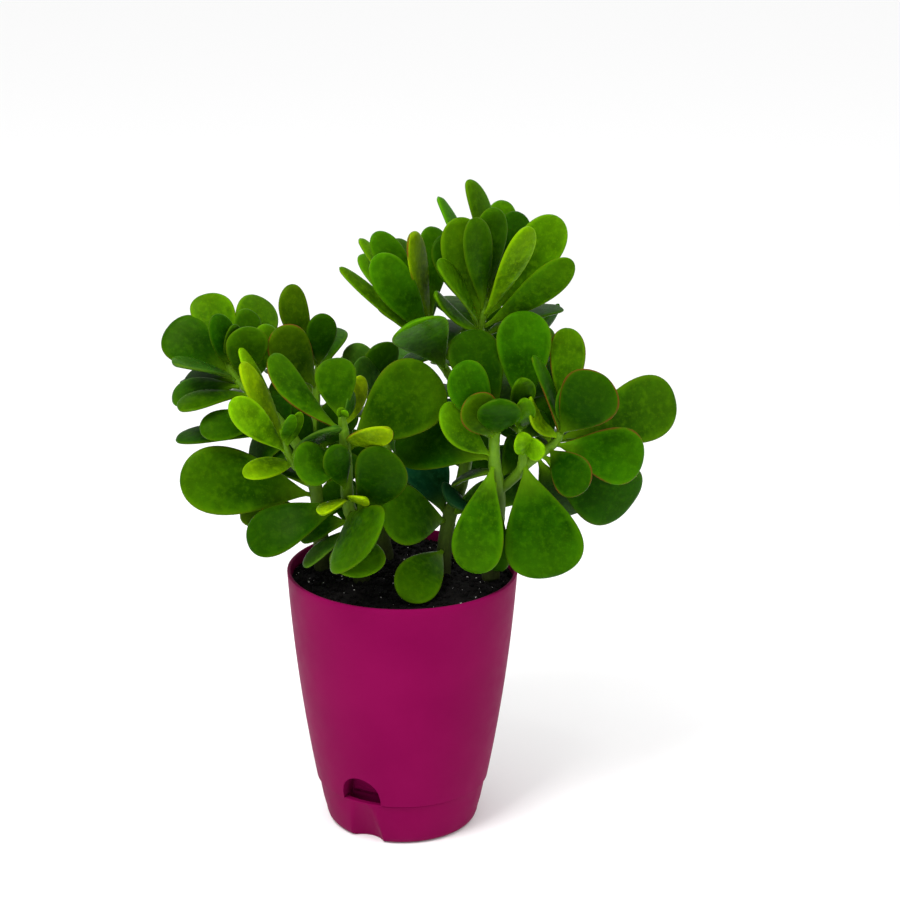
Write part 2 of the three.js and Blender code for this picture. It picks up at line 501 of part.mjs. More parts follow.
// Where a leaf that reaches for a far point leaves the stem: on the side that looks that way.
function leafRoot(shoot, place, reach) {
  const { at, radius } = along(shoot.knots, place);
  const [below, above] = [place - 0.2, place + 0.2].map((spot) => along(shoot.knots, spot).at);
  const run = above.sub(below).normalize();
  const side = reach.clone().sub(at);
  side.addScaledVector(run, -side.dot(run)).normalize();
  return at.addScaledVector(side, radius - ROOT_SUNK);
}

// A leaf that is placed as it is seen: its face is turned from the viewer round its midline.
function seenLeaf(shoot, [place, right, up, near, width, turn, bow, sweep]) {
  const tip = seen(right, up, near);
  const root = leafRoot(shoot, place, tip);
  const run = tip.clone().sub(root).normalize();
  const view = EYE.clone().sub(root.clone().lerp(tip, 0.5)).normalize();
  const face = view.addScaledVector(run, -view.dot(run)).normalize();
  face.applyAxisAngle(run, THREE.MathUtils.degToRad(turn));
  return { root, tip, face, width, bow, sweep };
}

// A leaf that points away from the viewer: azimuth 0 is straight back, 90 to the right.
function farLeaf(shoot, [place, azimuth, rise, length, width, turn, bow]) {
  const [around, climb] = [azimuth, rise].map(THREE.MathUtils.degToRad);
  const run = point(
    Math.sin(around) * Math.cos(climb), Math.cos(around) * Math.cos(climb), Math.sin(climb),
  );
  const root = leafRoot(shoot, place, along(shoot.knots, place).at.addScaledVector(run, length));
  const tip = root.clone().addScaledVector(run, length);
  const face = point(0, 0, 1).addScaledVector(run, -run.z).normalize();
  face.applyAxisAngle(run, THREE.MathUtils.degToRad(turn));
  return { root, tip, face, width, bow };
}

for (const shoot of SHOOTS) {
  shoot.knots = stemKnots(shoot, SHOOTS);
  shoot.blades = [
    ...shoot.leaves.map((row) => seenLeaf(shoot, row)),
    ...shoot.far.map((row) => farLeaf(shoot, row)),
  ];
}

// A leafy stem: its branches and all their leaves grown together.
function makeLeafyStem(node) {
  const shoots = SHOOTS.filter((shoot) => shoot.node === node);
  const stems = shoots.map((shoot) => solid(skin(makeStem(shoot))));
  const leaves = shoots.flatMap((shoot) => shoot.blades.map((blade) => solid(skin(makeLeaf(blade)))));
  return joined([...stems, ...leaves]);
}

function stemHole(shoot) {
  const { at, radius } = shoot.knots[0];
  const bottom = at.z - STEM_SUNK - GAP;
  return solid(upright(radius + HOLE_MARGIN, bottom, POT_HEIGHT, at.x, at.y, HOLE_SIDES));
}

// ---- The whole plant ----
const group = new THREE.Group();
const feet = SHOOTS.filter((shoot) => shoot.foot);
group.add(part('reservoir_base', makeTray(), 0x8a0f52, 0.45));
group.add(part('pot_body', makePot(), 0x960f5a, 0.45));
group.add(part('soil', makeSoil(feet.map(stemHole)), 0x15110f, 0.95));
for (const { node } of feet) {
  group.add(part(node, makeLeafyStem(node), 0x3f8a24, 0.35));
}

export default group;
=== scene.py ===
# %% [markdown]
# # A potted jade plant
#
# Thick glossy paddle leaves on five branching stems, dark potting mix, and a tapered magenta
# pot that stands on its own water tray. The solids of the part are loaded first, and every
# visible piece is then made again, finer, in the same place. +Z is up, the front looks along
# -Y, and the numbers below are millimetres that are turned into metres when a mesh is made.

# %% Load the part
import bmesh
import bpy
import math
import numpy as np
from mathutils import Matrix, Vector


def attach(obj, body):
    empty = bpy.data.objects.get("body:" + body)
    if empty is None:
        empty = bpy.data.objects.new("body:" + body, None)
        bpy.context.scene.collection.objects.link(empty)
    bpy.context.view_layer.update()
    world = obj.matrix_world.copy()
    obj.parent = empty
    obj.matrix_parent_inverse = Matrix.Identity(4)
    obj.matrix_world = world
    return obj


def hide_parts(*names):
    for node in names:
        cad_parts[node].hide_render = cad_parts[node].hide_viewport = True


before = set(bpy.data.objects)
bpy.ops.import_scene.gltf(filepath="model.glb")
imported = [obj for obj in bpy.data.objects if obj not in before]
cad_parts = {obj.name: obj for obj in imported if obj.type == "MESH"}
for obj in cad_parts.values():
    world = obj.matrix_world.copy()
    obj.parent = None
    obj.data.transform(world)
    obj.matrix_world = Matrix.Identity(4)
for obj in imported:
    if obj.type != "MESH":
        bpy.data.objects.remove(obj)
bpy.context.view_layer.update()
print("nodes:", sorted(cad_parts))

# %% [markdown]
# ## From numbers to meshes
#
# Almost everything here is a skin over rings: a pot wall, a stem and a leaf are all rows of
# points that close on themselves. One helper numbers the faces of such a skin for any count
# of rings. It could be done with curves and a bevel, but a grid keeps each shape exact and
# lets a value be stored on every point for the materials to read.

# %% Helpers: the faces of a skin, and a mesh from arrays
MM = 0.001


def skin_faces(rows, columns):
    """Quads between neighbouring rings, and a fan from a middle point over each end.

    Ring r holds points r*columns ... r*columns+columns-1. The two middle points come last.
    """
    here = np.arange(rows * columns).reshape(rows, columns)
    right = np.roll(here, -1, axis=1)
    quads = np.stack([here[:-1], right[:-1], right[1:], here[1:]], -1).reshape(-1, 4)
    first, last = rows * columns, rows * columns + 1
    low = np.stack([np.full(columns, first), right[0], here[0]], -1)
    high = np.stack([np.full(columns, last), here[-1], right[-1]], -1)
    return quads, np.vstack([low, high])


def mesh_piece(name, points, quads, triangles, material, values=None):
    """A mesh object at the origin from arrays of points in mm, faces and point values."""
    mesh = bpy.data.meshes.new(name)
    mesh.vertices.add(len(points))
    mesh.vertices.foreach_set("co", (np.asarray(points) * MM).astype(np.float32).ravel())
    corners = np.concatenate([np.ravel(quads), np.ravel(triangles)]).astype(np.int32)
    mesh.loops.add(len(corners))
    mesh.loops.foreach_set("vertex_index", corners)
    starts = np.concatenate([np.arange(len(quads)) * 4,
                             len(quads) * 4 + np.arange(len(triangles)) * 3])
    mesh.polygons.add(len(starts))
    mesh.polygons.foreach_set("loop_start", starts.astype(np.int32))
    mesh.polygons.foreach_set("use_smooth", np.ones(len(starts), bool))
    for label, data in (values or {}).items():
        data = np.asarray(data, np.float32)
        kind, field = ("FLOAT", "value") if data.ndim == 1 else ("FLOAT_VECTOR", "vector")
        mesh.attributes.new(label, kind, "POINT").data.foreach_set(field, data.ravel())
    mesh.update(calc_edges=True)
    mesh.validate()
    piece = bpy.data.objects.new(name, mesh)
    bpy.context.scene.collection.objects.link(piece)
    piece.data.materials.append(material)
    print(f"{name}: {len(points)} points, {len(starts)} faces")
    return piece


print("quads and triangles over two rings of three:", *map(len, skin_faces(2, 3)))

# %% [markdown]
# ## Materials from nodes
#
# A finish is a handful of nodes in front of one Principled shader. They could be wired by
# hand in the shader editor. Short helpers that add a node and set its sockets keep each
# recipe readable instead, much like a list of ingredients.

# %% Helpers: nodes
class Recipe:
    """A new material and short ways to add nodes to it."""

    def __init__(self, name):
        self.material = bpy.data.materials.new(name)
        self.material.use_nodes = True
        self.nodes = self.material.node_tree.nodes
        self.shader = self.nodes["Principled BSDF"]

    def feed(self, socket, value):
        """A link where the value is another node's output, and the plain value otherwise."""
        if isinstance(value, bpy.types.NodeSocket):
            self.material.node_tree.links.new(value, socket)
        else:
            socket.default_value = value

    def set(self, node, **sockets):
        """Feeds sockets by their names, with _ for a space."""
        for label, value in sockets.items():
            self.feed(node.inputs[label.replace("_", " ")], value)

    def place(self):
        """Where a point is on the object, in metres."""
        return self.nodes.new("ShaderNodeTexCoord").outputs["Object"]

    def value(self, label, output="Fac"):
        """A number or a vector that was stored on the mesh's points."""
        node = self.nodes.new("ShaderNodeAttribute")
        node.attribute_name = label
        return node.outputs[output]

    def noise(self, scale, detail=3.0):
        """A cloudy value, mostly between 0.3 and 0.7, with scale clouds to the metre."""
        node = self.nodes.new("ShaderNodeTexNoise")
        self.set(node, Vector=self.place(), Scale=scale, Detail=detail)
        return node.outputs["Fac"]

    def ranged(self, value, low, high, to_low=0.0, to_high=1.0):
        """Low..high of a value becomes to_low..to_high, held at both ends."""
        node = self.nodes.new("ShaderNodeMapRange")
        self.set(node, Value=value, From_Min=low, From_Max=high, To_Min=to_low, To_Max=to_high)
        return node.outputs["Result"]

    def times(self, a, b):
        """The product of two values."""
        node = self.nodes.new("ShaderNodeMath")
        node.operation = "MULTIPLY"
        self.feed(node.inputs[0], a)
        self.feed(node.inputs[1], b)
        return node.outputs["Value"]

    def mix(self, share, first, second):
        """A blend of two colours, first where share is 0 and second where it is 1."""
        node = self.nodes.new("ShaderNodeMix")
        node.data_type = "RGBA"
        self.feed(node.inputs[0], share)
        for socket, colour in ((node.inputs[6], first), (node.inputs[7], second)):
            self.feed(socket, (*colour, 1.0) if isinstance(colour, tuple) else colour)
        return node.outputs[2]

    def bump(self, height, strength, distance):
        """A tilted normal, as if the surface rose by height times distance, in metres."""
        node = self.nodes.new("ShaderNodeBump")
        self.set(node, Height=height, Strength=strength, Distance=distance)
        return node.outputs["Normal"]


print("steps of a recipe:", [step for step in vars(Recipe) if not step.startswith("_")])

# %% [markdown]
# ## The pot's plastic
#
# The pot is moulded from magenta plastic with a satin skin: one even colour, a broad soft
# highlight, and the faintest waviness from the mould. A noise of low contrast on colour and
# roughness is enough. A strong bump would make it look like clay.

# %% Finish: satin magenta plastic
MAGENTA = (0.158, 0.0012, 0.046)
MAGENTA_WORN = (0.176, 0.0020, 0.052)


def moulded_plastic(name, roughness):
    """Slow clouds on the colour, faster ones on the roughness, and a fine grain as bump."""
    recipe = Recipe(name)
    cloud = recipe.ranged(recipe.noise(22.0, 4.0), 0.35, 0.65)
    recipe.set(
        recipe.shader,
        Base_Color=recipe.mix(cloud, MAGENTA, MAGENTA_WORN),
        Roughness=recipe.ranged(recipe.noise(140.0), 0.3, 0.7, roughness - 0.04, roughness + 0.05),
        IOR=1.45,
        Specular_IOR_Level=0.04,
        Specular_Tint=(1.0, 0.3, 0.6, 1),
        Normal=recipe.bump(recipe.noise(1400.0, 2.0), 0.08, 0.0002),
    )
    return recipe.material


pot_plastic = moulded_plastic("magenta pot plastic", roughness=0.5)
tray_plastic = moulded_plastic("magenta tray plastic", roughness=0.52)
print("pot colour:", MAGENTA)

# %% [markdown]
# ## The pot's measures
#
# The pot is 115 mm across the rim and 134 mm high, and its wall curves in faster towards the
# foot. That curve is one short formula, used for the wall inside and out, the soil's edge and
# the tray's shoulder, so that the pieces always fit each other.

# %% Measures of the pot
POT_HEIGHT = 134
RIM_RADIUS = 57.5
TAPER, FOOT_CURVE = 0.062, 0.00057
WALL = 1.8
GAP = 0.31  # between neighbours, so that no two pieces cross
SEAM = 23  # the height where the tray ends and the pot begins
FLOOR_TOP, FLOOR_UNDER = 31.3, 29.3
WICK_RADIUS, WICK_WALL, WICK_BOTTOM = 13.6, 1.6, 6
RECESS_TURN = math.radians(-28)
RECESS_HALF_WIDTH = 10.5
RECESS_TOP = 37.5
RECESS_BACK = 33
SPOUT_BOTTOM, SPOUT_REACH = 18.5, 38
OUTWARD = np.array([math.sin(RECESS_TURN), -math.cos(RECESS_TURN), 0])
SIDEWAYS = np.array([math.cos(RECESS_TURN), math.sin(RECESS_TURN), 0])
UP = np.array([0.0, 0.0, 1.0])


def outer_radius(height):
    """Rim radius less TAPER for each mm below the rim, and less FOOT_CURVE for each squared."""
    below = POT_HEIGHT - np.asarray(height, float)
    return RIM_RADIUS - TAPER * below - FOOT_CURVE * below**2


def placed(out, across, height):
    """Points from how far out (towards the recess), how far across and how high they are."""
    out, across, height = np.broadcast_arrays(out, across, height)
    return out[..., None] * OUTWARD + across[..., None] * SIDEWAYS + height[..., None] * UP


print("radius at the seam:", float(outer_radius(SEAM)))

# %% [markdown]
# ## A round wall with an arched recess
#
# Left of the front the pot has an arched recess above the seam, where water is poured into
# the tray. It could be cut out with a boolean, but the grid can hold it exactly: the columns
# in front of the recess are spaced across its width, one row follows the arch, and the points
# under that row are pushed back to a flat plane. The column at each side and the row on the
# arch are doubled, and these doubles make the recess's straight side walls.

# %% Helper: a wall with a recess
ACROSS = np.linspace(-1, 1, 33)  # shares of the recess's half width
AROUND = np.linspace(0, 1, 161)  # shares of the way round the rest


def recess_wall(radius, bottom, top, margin, low_rows=14, high_rows=30):
    """Rows of a wall: x across the recess, then the angle round the rest of the pot.

    The arch's height at x is its spring plus the root of half_width squared less x squared.
    Rows up to the arch run from the bottom to it, and the others from it to the top.
    """
    half = RECESS_HALF_WIDTH + margin
    back = RECESS_BACK - margin
    spring = RECESS_TOP - RECESS_HALF_WIDTH
    x = half * ACROSS
    arch = np.concatenate([spring + np.sqrt(np.maximum(half**2 - x**2, 0)),
                           np.full(len(AROUND), spring)])
    low = bottom + (arch - bottom) * np.linspace(0, 1, low_rows)[:, None]
    high = arch + (top - arch) * np.linspace(0, 1, high_rows)[:, None]
    height = np.vstack([low, high])
    reach = radius(height)
    edge = np.arcsin(half / reach[:, :1])
    angle = np.concatenate([np.arcsin(x / reach[:, :len(x)]),
                            edge + (2 * math.pi - 2 * edge) * AROUND], axis=1)
    out, across = reach * np.cos(angle), reach * np.sin(angle)
    out[:low_rows, :len(x)] = back
    return placed(out, across, height)


def ring(radius, height, wall):
    """A level ring at the same angles as the wall's last row."""
    flat = wall[-1] * [1, 1, 0]
    return flat / np.linalg.norm(flat, axis=1)[:, None] * radius + height * UP


print("columns in a wall:", len(ACROSS) + len(AROUND))

# %% [markdown]
# ## From rings to finished pieces
#
# Rows of rings become a closed skin: a fan closes each end, or the last ring joins the first.
# The recess's doubled points are merged afterwards. Moulded plastic has no knife edges, so an
# edge can get a small bevel that catches the light. Painted-on highlights would only work from
# one side.

# %% Helpers: closed skins and their edges
SHARP_TURN, BEVELLED_TURN = 35, 50


def closed_skin(rows, wrap=False):
    """Points and faces over rows of rings. With wrap, the last ring joins the first."""
    count, columns = rows.shape[:2]
    quads, fans = skin_faces(count, columns)
    points = rows.reshape(-1, 3)
    if wrap:
        last, first = quads[-columns:] + columns, np.arange(columns)
        joint = np.stack([last[:, 0], last[:, 1], np.roll(first, -1), first], -1)
        return points, np.vstack([quads, joint]), np.empty((0, 3), int)
    return np.vstack([points, rows[0].mean(0), rows[-1].mean(0)]), quads, fans


def gathered(skins):
    """Several closed skins of any size as one list of points, quads and fans."""
    points, quads, fans, start = [], [], [], 0
    for rows in skins:
        p, q, f = closed_skin(rows)
        points.append(p)
        quads.append(q + start)
        fans.append(f + start)
        start += len(p)
    return np.vstack(points), np.vstack(quads), np.vstack(fans)


def clean(piece, sharp=SHARP_TURN, bevel=0.0):
    """Doubles are merged. Edges that turn by more than an angle stay sharp or get a bevel."""
    work = bmesh.new()
    work.from_mesh(piece.data)
    bmesh.ops.remove_doubles(work, verts=work.verts, dist=1e-6)
    bmesh.ops.dissolve_degenerate(work, dist=1e-7, edges=work.edges)
    bmesh.ops.recalc_face_normals(work, faces=work.faces)
    work.to_mesh(piece.data)
    work.free()
    if bevel:
        rounding = piece.modifiers.new("rounded edges", "BEVEL")
        rounding.width = bevel * MM
        rounding.segments = 2
        rounding.angle_limit = math.radians(BEVELLED_TURN)
        rounding.harden_normals = True
    else:
        piece.data.set_sharp_from_angle(angle=math.radians(sharp))
    return piece


print("degrees for a sharp edge and for a bevel:", SHARP_TURN, BEVELLED_TURN)

# %% [markdown]
# ## The pot
#
# The shell is one closed strip of rings: up the outside, over the thin plain lip, and down
# the inside, where the recess shows as a bulge of the same wall thickness. A lathed wall with
# a thickness modifier would be quicker, but it can't hold the recess.

# %% The pot's shell
LIP_RISE, SHELL_BEVEL = 0.6, 0.4


def pot_shell():
    """The outside, a lip and the inside: at a turn of the lip the share of the outside is half
    of one plus its cosine, and the height rises by LIP_RISE times its sine."""
    brim = POT_HEIGHT - LIP_RISE
    outside = recess_wall(outer_radius, SEAM + GAP, brim, 0)
    inside = recess_wall(lambda z: outer_radius(z) - WALL, SEAM + GAP, brim, WALL)
    turn = np.linspace(0, math.pi, 8)[1:-1, None, None]
    lip = outside[-1] * (1 + np.cos(turn)) / 2 + inside[-1] * (1 - np.cos(turn)) / 2
    lip = lip + np.sin(turn) * LIP_RISE * UP
    return np.concatenate([outside, lip, inside[::-1]])


pot = clean(mesh_piece("pot", *closed_skin(pot_shell(), wrap=True), pot_plastic),
            bevel=SHELL_BEVEL)

# %% [markdown]
# The planting floor and the cup that dips into the tray's water are a second closed shape. It
# is a profile turned round the axis, and its wide rings step back behind the recess.

# %% The planting floor
FLOOR_SUNK = 0.4


def floor_ring(radius, height):
    """A level ring that steps back behind the recess's wall, halfway into its thickness."""
    x = (RECESS_HALF_WIDTH + WALL / 2) * ACROSS
    edge = math.asin(x[-1] / radius)
    angle = np.concatenate([edge * ACROSS, edge + (2 * math.pi - 2 * edge) * AROUND])
    out, across = radius * np.cos(angle), radius * np.sin(angle)
    if radius > RECESS_BACK:
        out[:len(x)] = RECESS_BACK - WALL / 2
    return placed(out, across, height)


def pot_floor():
    """A ring for each corner: round the cup, out below, back in above, and down the cup."""
    reach = float(outer_radius(FLOOR_UNDER)) - WALL + FLOOR_SUNK
    cup, cup_floor = WICK_RADIUS - WICK_WALL, WICK_BOTTOM + WICK_WALL
    profile = [(WICK_RADIUS, WICK_BOTTOM), (WICK_RADIUS, FLOOR_UNDER), (reach, FLOOR_UNDER),
               (reach, FLOOR_TOP), (cup, FLOOR_TOP), (cup, cup_floor)]
    return np.array([floor_ring(radius, height) for radius, height in profile])


floor_plate = clean(mesh_piece("planting_floor", *closed_skin(pot_floor()), pot_plastic))

# %% [markdown]
# A short spout leads the water from the recess down into the tray: it is the recess's walls
# once more, as a U of plates. Its two ends are flat, and three faces close each of them.

# %% The water spout
SPOUT_BEVEL = 0.3


def spout():
    """The recess's side and back walls again, as a U of plates that dips into the tray: each
    corner is a width across, and a flat distance or the root that puts it on a circle."""
    half, wide, back = RECESS_HALF_WIDTH, RECESS_HALF_WIDTH + WALL, RECESS_BACK
    inner, outer = math.sqrt(SPOUT_REACH**2 - half**2), math.sqrt(SPOUT_REACH**2 - wide**2)
    loop = [(half, back), (half, inner), (wide, outer), (wide, back - WALL),
            (-wide, back - WALL), (-wide, outer), (-half, inner), (-half, back)]
    x, out = np.array(loop).T
    return placed(out, x, np.array([[SPOUT_BOTTOM], [SEAM + GAP + WALL]]))


dip = spout()
quads, _ = skin_faces(2, dip.shape[1])
ends = np.array([[0, 1, 2, 3], [4, 5, 6, 7], [3, 4, 7, 0]])
quads = np.vstack([quads, ends[:, ::-1], ends + dip.shape[1]])
spout_walls = clean(mesh_piece("water_spout", dip.reshape(-1, 3), quads, np.empty((0, 3), int),
                               pot_plastic), bevel=SPOUT_BEVEL)
for piece in (pot, floor_plate, spout_walls):
    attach(piece, "root")
    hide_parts("pot_body")

# %% [markdown]
# Six drain holes go through the planting floor. They are cut with a boolean, because round
# holes don't follow the floor's rings: the drill is six rods in one mesh, and the result is
# kept as a plain mesh, so that nothing depends on the drill afterwards.

# %% Drain holes
DRAINS, DRAIN_RING, DRAIN_RADIUS, DRAIN_SIDES = 6, 26, 1.6, 24


def rods(count, reach, radius, low, high):
    """Upright rods on a circle, half a step on from the X axis: two level rings for each."""
    turn = np.linspace(0, 2 * math.pi, DRAIN_SIDES, endpoint=False)
    circle = radius * np.stack([np.cos(turn), np.sin(turn), 0 * turn], -1)
    angle = (np.arange(count) + 0.5) / count * 2 * math.pi
    centres = reach * np.stack([np.cos(angle), np.sin(angle), 0 * angle], -1)
    levels = np.array([low, high])[:, None, None] * UP
    return centres[:, None, None] + circle + levels


drill_rows = rods(DRAINS, DRAIN_RING, DRAIN_RADIUS, FLOOR_UNDER - 1, FLOOR_TOP + 1)
drill = mesh_piece("drill", *gathered(drill_rows), pot_plastic)
cut = floor_plate.modifiers.new("drain holes", "BOOLEAN")
cut.object, cut.solver = drill, "EXACT"
drilled = floor_plate.evaluated_get(bpy.context.evaluated_depsgraph_get())
floor_plate.data = bpy.data.meshes.new_from_object(drilled)
floor_plate.modifiers.remove(cut)
bpy.data.objects.remove(drill)
floor_plate.data.set_sharp_from_angle(angle=math.radians(SHARP_TURN))
print("faces of the drilled floor:", len(floor_plate.data.polygons))

# %% [markdown]
# ## The water tray
#
# The tray is a shallow cup with a rounded foot. A shoulder carries the pot, and a collar
# reaches up inside the pot's skirt, open where the spout comes down. A finger flute runs down
# its outside under the recess: it is where a leaning round rod would press into the wall. The
# smaller of the wall's reach and the rod's gives it, softly blended, without a boolean.

# %% The tray
TRAY_OUTSIDE = [(34.5, 0), (35.8, 0.2), (37.2, 1.0), (38.1, 2.2), (38.6, 3.6), (39.1, 6),
                (40.4, 11), (41.6, 17), (42.3, 21.5), (42.6, 22.6), (42.2, SEAM)]
COLLAR = [(41.3, SEAM), (41.3, 28.7), (40.9, 28.99), (40.1, 28.99), (39.7, 28.7)]
TRAY_HOLLOW = [(39.4, 20), (38.2, 12), (37, 5), (36.4, 3.2), (35, 2.2)]
TRAY_WALL = 1.6
FOOT_RADIUS, SHOULDER_RADIUS = 38.6, 42.6
FLUTE_RADIUS, FLUTE_DEPTH_TOP, FLUTE_DEPTH_FOOT = 11, 0.2, 7
FLUTE_COLUMNS, FLUTE_SOFT = 61, 0.35
COLLAR_CUT = RECESS_HALF_WIDTH + WALL + GAP


def tray_ring(radius, height, margin):
    """A ring that the flute's rod presses in: the rod's face at x is its centre less the root
    of its radius squared less x squared, and a soft minimum joins it to the round wall."""
    x = np.linspace(-COLLAR_CUT, COLLAR_CUT, FLUTE_COLUMNS)
    edge = math.asin(COLLAR_CUT / radius)
    angle = np.concatenate([np.arcsin(x / radius), edge + (2 * math.pi - 2 * edge) * AROUND])
    out, across = radius * np.cos(angle), radius * np.sin(angle)
    share = height / SEAM
    wall = FOOT_RADIUS + (SHOULDER_RADIUS - FOOT_RADIUS) * share
    depth = FLUTE_DEPTH_FOOT + (FLUTE_DEPTH_TOP - FLUTE_DEPTH_FOOT) * share
    rod = FLUTE_RADIUS + margin
    face = wall + FLUTE_RADIUS - depth - np.sqrt(np.maximum(rod**2 - x**2, 0))
    near = out[:FLUTE_COLUMNS]
    blend = np.maximum(FLUTE_SOFT - np.abs(near - face), 0) ** 2 / (4 * FLUTE_SOFT)
    pressed = np.minimum(near, face) - blend
    out[:FLUTE_COLUMNS] = np.where((np.abs(x) < rod) & (height <= SEAM), pressed, near)
    level = np.full(len(out), float(height))
    level[:FLUTE_COLUMNS] = np.minimum(height, SEAM)  # the collar's opening for the spout
    return placed(out, across, level)


tray_rows = np.array([tray_ring(r, z, 0) for r, z in TRAY_OUTSIDE + COLLAR]
                     + [tray_ring(r, z, TRAY_WALL) for r, z in TRAY_HOLLOW])
tray = clean(mesh_piece("water_tray", *closed_skin(tray_rows), tray_plastic), sharp=40)
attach(tray, "root")
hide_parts("reservoir_base")

# %% [markdown]
# ## Potting mix
#
# The mix is nearly black and crumbly, and it lies just below the rim. The lump has the pot's
# inside shape, a low mound on top and two crossing waves, which place the feet of the stems.
# Fine crumbs come from the material's bump, and the coarse ones are small lumps of their own.

# %% The soil
SOIL_EDGE, SOIL_RISE, SOIL_RINGS = 128.6, 2.4, 48
WAVE_RISE, WAVE_REACH, RIPPLE_RISE, RIPPLE_REACH = 0.5, 3.4, 0.35, 1.9
SOIL_DARK, SOIL_LIGHT = (0.001, 0.0009, 0.0009), (0.0046, 0.0037, 0.0031)


def soil_top(x, y):
    """A low mound, one long crossing wave and one short diagonal ripple."""
    reach = np.hypot(x, y) / RIM_RADIUS
    waves = WAVE_RISE * np.sin(x / WAVE_REACH + 1) * np.cos(y / WAVE_REACH)
    ripples = RIPPLE_RISE * np.sin((x + y) / RIPPLE_REACH)
    return SOIL_EDGE + SOIL_RISE * (1 - reach**2) + waves + ripples


recipe = Recipe("dark potting mix")
clods = recipe.noise(420.0, 6.0)
recipe.set(
    recipe.shader,
    Base_Color=recipe.mix(recipe.ranged(clods, 0.35, 0.7), SOIL_DARK, SOIL_LIGHT),
    Roughness=0.95,
    Specular_IOR_Level=0.1,
    Normal=recipe.bump(clods, 0.9, 0.0012),
)
potting_mix = recipe.material

soil_wall = recess_wall(lambda z: outer_radius(z) - WALL - GAP, FLOOR_TOP + GAP, SOIL_EDGE,
                        WALL + GAP, high_rows=12)
soil_radius = np.linalg.norm(soil_wall[-1] * [1, 1, 0], axis=1).mean()
cup_radius = WICK_RADIUS - WICK_WALL - GAP
soil_rows = [ring(cup_radius, WICK_BOTTOM + WICK_WALL + GAP, soil_wall),
             ring(cup_radius, FLOOR_TOP + GAP, soil_wall), *soil_wall]
for share in np.linspace(0, 1, SOIL_RINGS)[1:-1]:
    circle = ring(soil_radius * (1 - share), 0, soil_wall)
    circle[:, 2] = soil_top(circle[:, 0], circle[:, 1])
    soil_rows.append(circle)
soil = clean(mesh_piece("potting_mix", *closed_skin(np.array(soil_rows)), potting_mix), sharp=70)
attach(soil, "root")
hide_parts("soil")

# %% [markdown]
# ## Crumbs and perlite
#
# Over a thousand loose crumbs break up the flat surface, and white specks of perlite lie
# between them. Each is a stretched, turned twenty-sided lump. All lumps of one kind are
# computed together as one array and live in one mesh, which is far lighter than an object
# each. A seeded random generator throws them, so every run gives the same bed.

# %% Scattered lumps
GOLDEN = (1 + 5**0.5) / 2
LUMP = np.array([(-1, GOLDEN, 0), (1, GOLDEN, 0), (-1, -GOLDEN, 0), (1, -GOLDEN, 0),
                 (0, -1, GOLDEN), (0, 1, GOLDEN), (0, -1, -GOLDEN), (0, 1, -GOLDEN),
                 (GOLDEN, 0, -1), (GOLDEN, 0, 1), (-GOLDEN, 0, -1), (-GOLDEN, 0, 1)])
LUMP = LUMP / np.linalg.norm(LUMP[0])
LUMP_FACES = np.array([(0, 11, 5), (0, 5, 1), (0, 1, 7), (0, 7, 10), (0, 10, 11), (1, 5, 9),
                       (5, 11, 4), (11, 10, 2), (10, 7, 6), (7, 1, 8), (3, 9, 4), (3, 4, 2),
                       (3, 2, 6), (3, 6, 8), (3, 8, 9), (4, 9, 5), (2, 4, 11), (6, 2, 10),
                       (8, 6, 7), (9, 8, 1)])
SOIL_REACH, LUMP_RISE = 53.6, 0.25


def scatter(name, count, smallest, largest, material, seed):
    """Lumps on the soil. The root of a random share spreads them evenly over the round bed,
    and a share to the power 2.5 sets the size, so that most are small. Each lies LUMP_RISE of
    its size above the soil, stretched and turned, with its corners moved in and out."""
    chance = np.random.default_rng(seed)
    reach = SOIL_REACH * np.sqrt(chance.random(count))
    angle = chance.random(count) * 2 * math.pi
    x, y = reach * np.cos(angle), reach * np.sin(angle)
    size = smallest + (largest - smallest) * chance.random(count) ** 2.5
    stretch = size[:, None] * chance.uniform(0.6, 1.2, (count, 3))
    turns = np.linalg.qr(chance.normal(size=(count, 3, 3)))[0]
    turns[:, :, 0] *= np.linalg.det(turns)[:, None]
    shape = LUMP * chance.uniform(0.8, 1.15, (count, len(LUMP), 1)) * stretch[:, None]
    places = np.stack([x, y, soil_top(x, y) + LUMP_RISE * size], -1)
    points = np.einsum("nij,nkj->nki", turns, shape) + places[:, None]
    faces = LUMP_FACES + len(LUMP) * np.arange(count)[:, None, None]
    piece = mesh_piece(name, points.reshape(-1, 3), np.empty((0, 4), int), faces.reshape(-1, 3),
                       material)
    piece.data.polygons.foreach_set("use_smooth", np.zeros(len(piece.data.polygons), bool))
    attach(piece, "root")


recipe = Recipe("white perlite")
recipe.set(recipe.shader, Base_Color=(0.42, 0.41, 0.38, 1), Roughness=0.85)
perlite = recipe.material
scatter("soil_crumbs", 1500, 0.5, 1.9, potting_mix, seed=4)
scatter("perlite_specks", 160, 0.2, 0.65, perlite, seed=9)

# %% [markdown]
# ## How the plant is laid out
#
# A jade plant has no plan, so its shoots are placed one by one, the way they are seen from the
# front. A point is given as [right, up, near]: right and up lie square to the line of sight, from
# the middle of the rim, and near is how far the point stands in front of the pot's axis.
# One function turns that into a place: it starts on the picture plane and walks towards the
# eye until it is as near as it should be.

# %% Points as they are seen
EYE_DISTANCE, EYE_RISE = 1081, 410.6
EYE = np.array([0, -EYE_DISTANCE, POT_HEIGHT + EYE_RISE])
LOOK_DOWN = math.radians(17.9)


def seen(right, up, near):
    """The plane's point, moved along the ray to the eye until its depth is near."""
    plane = np.array([right, up * math.sin(LOOK_DOWN), POT_HEIGHT + up * math.cos(LOOK_DOWN)])
    share = (-near - EYE[1]) / (plane[1] - EYE[1])
    return EYE + (plane - EYE) * share


print("the top shoot's tip:", seen(32.5, 194, -14).round(1))
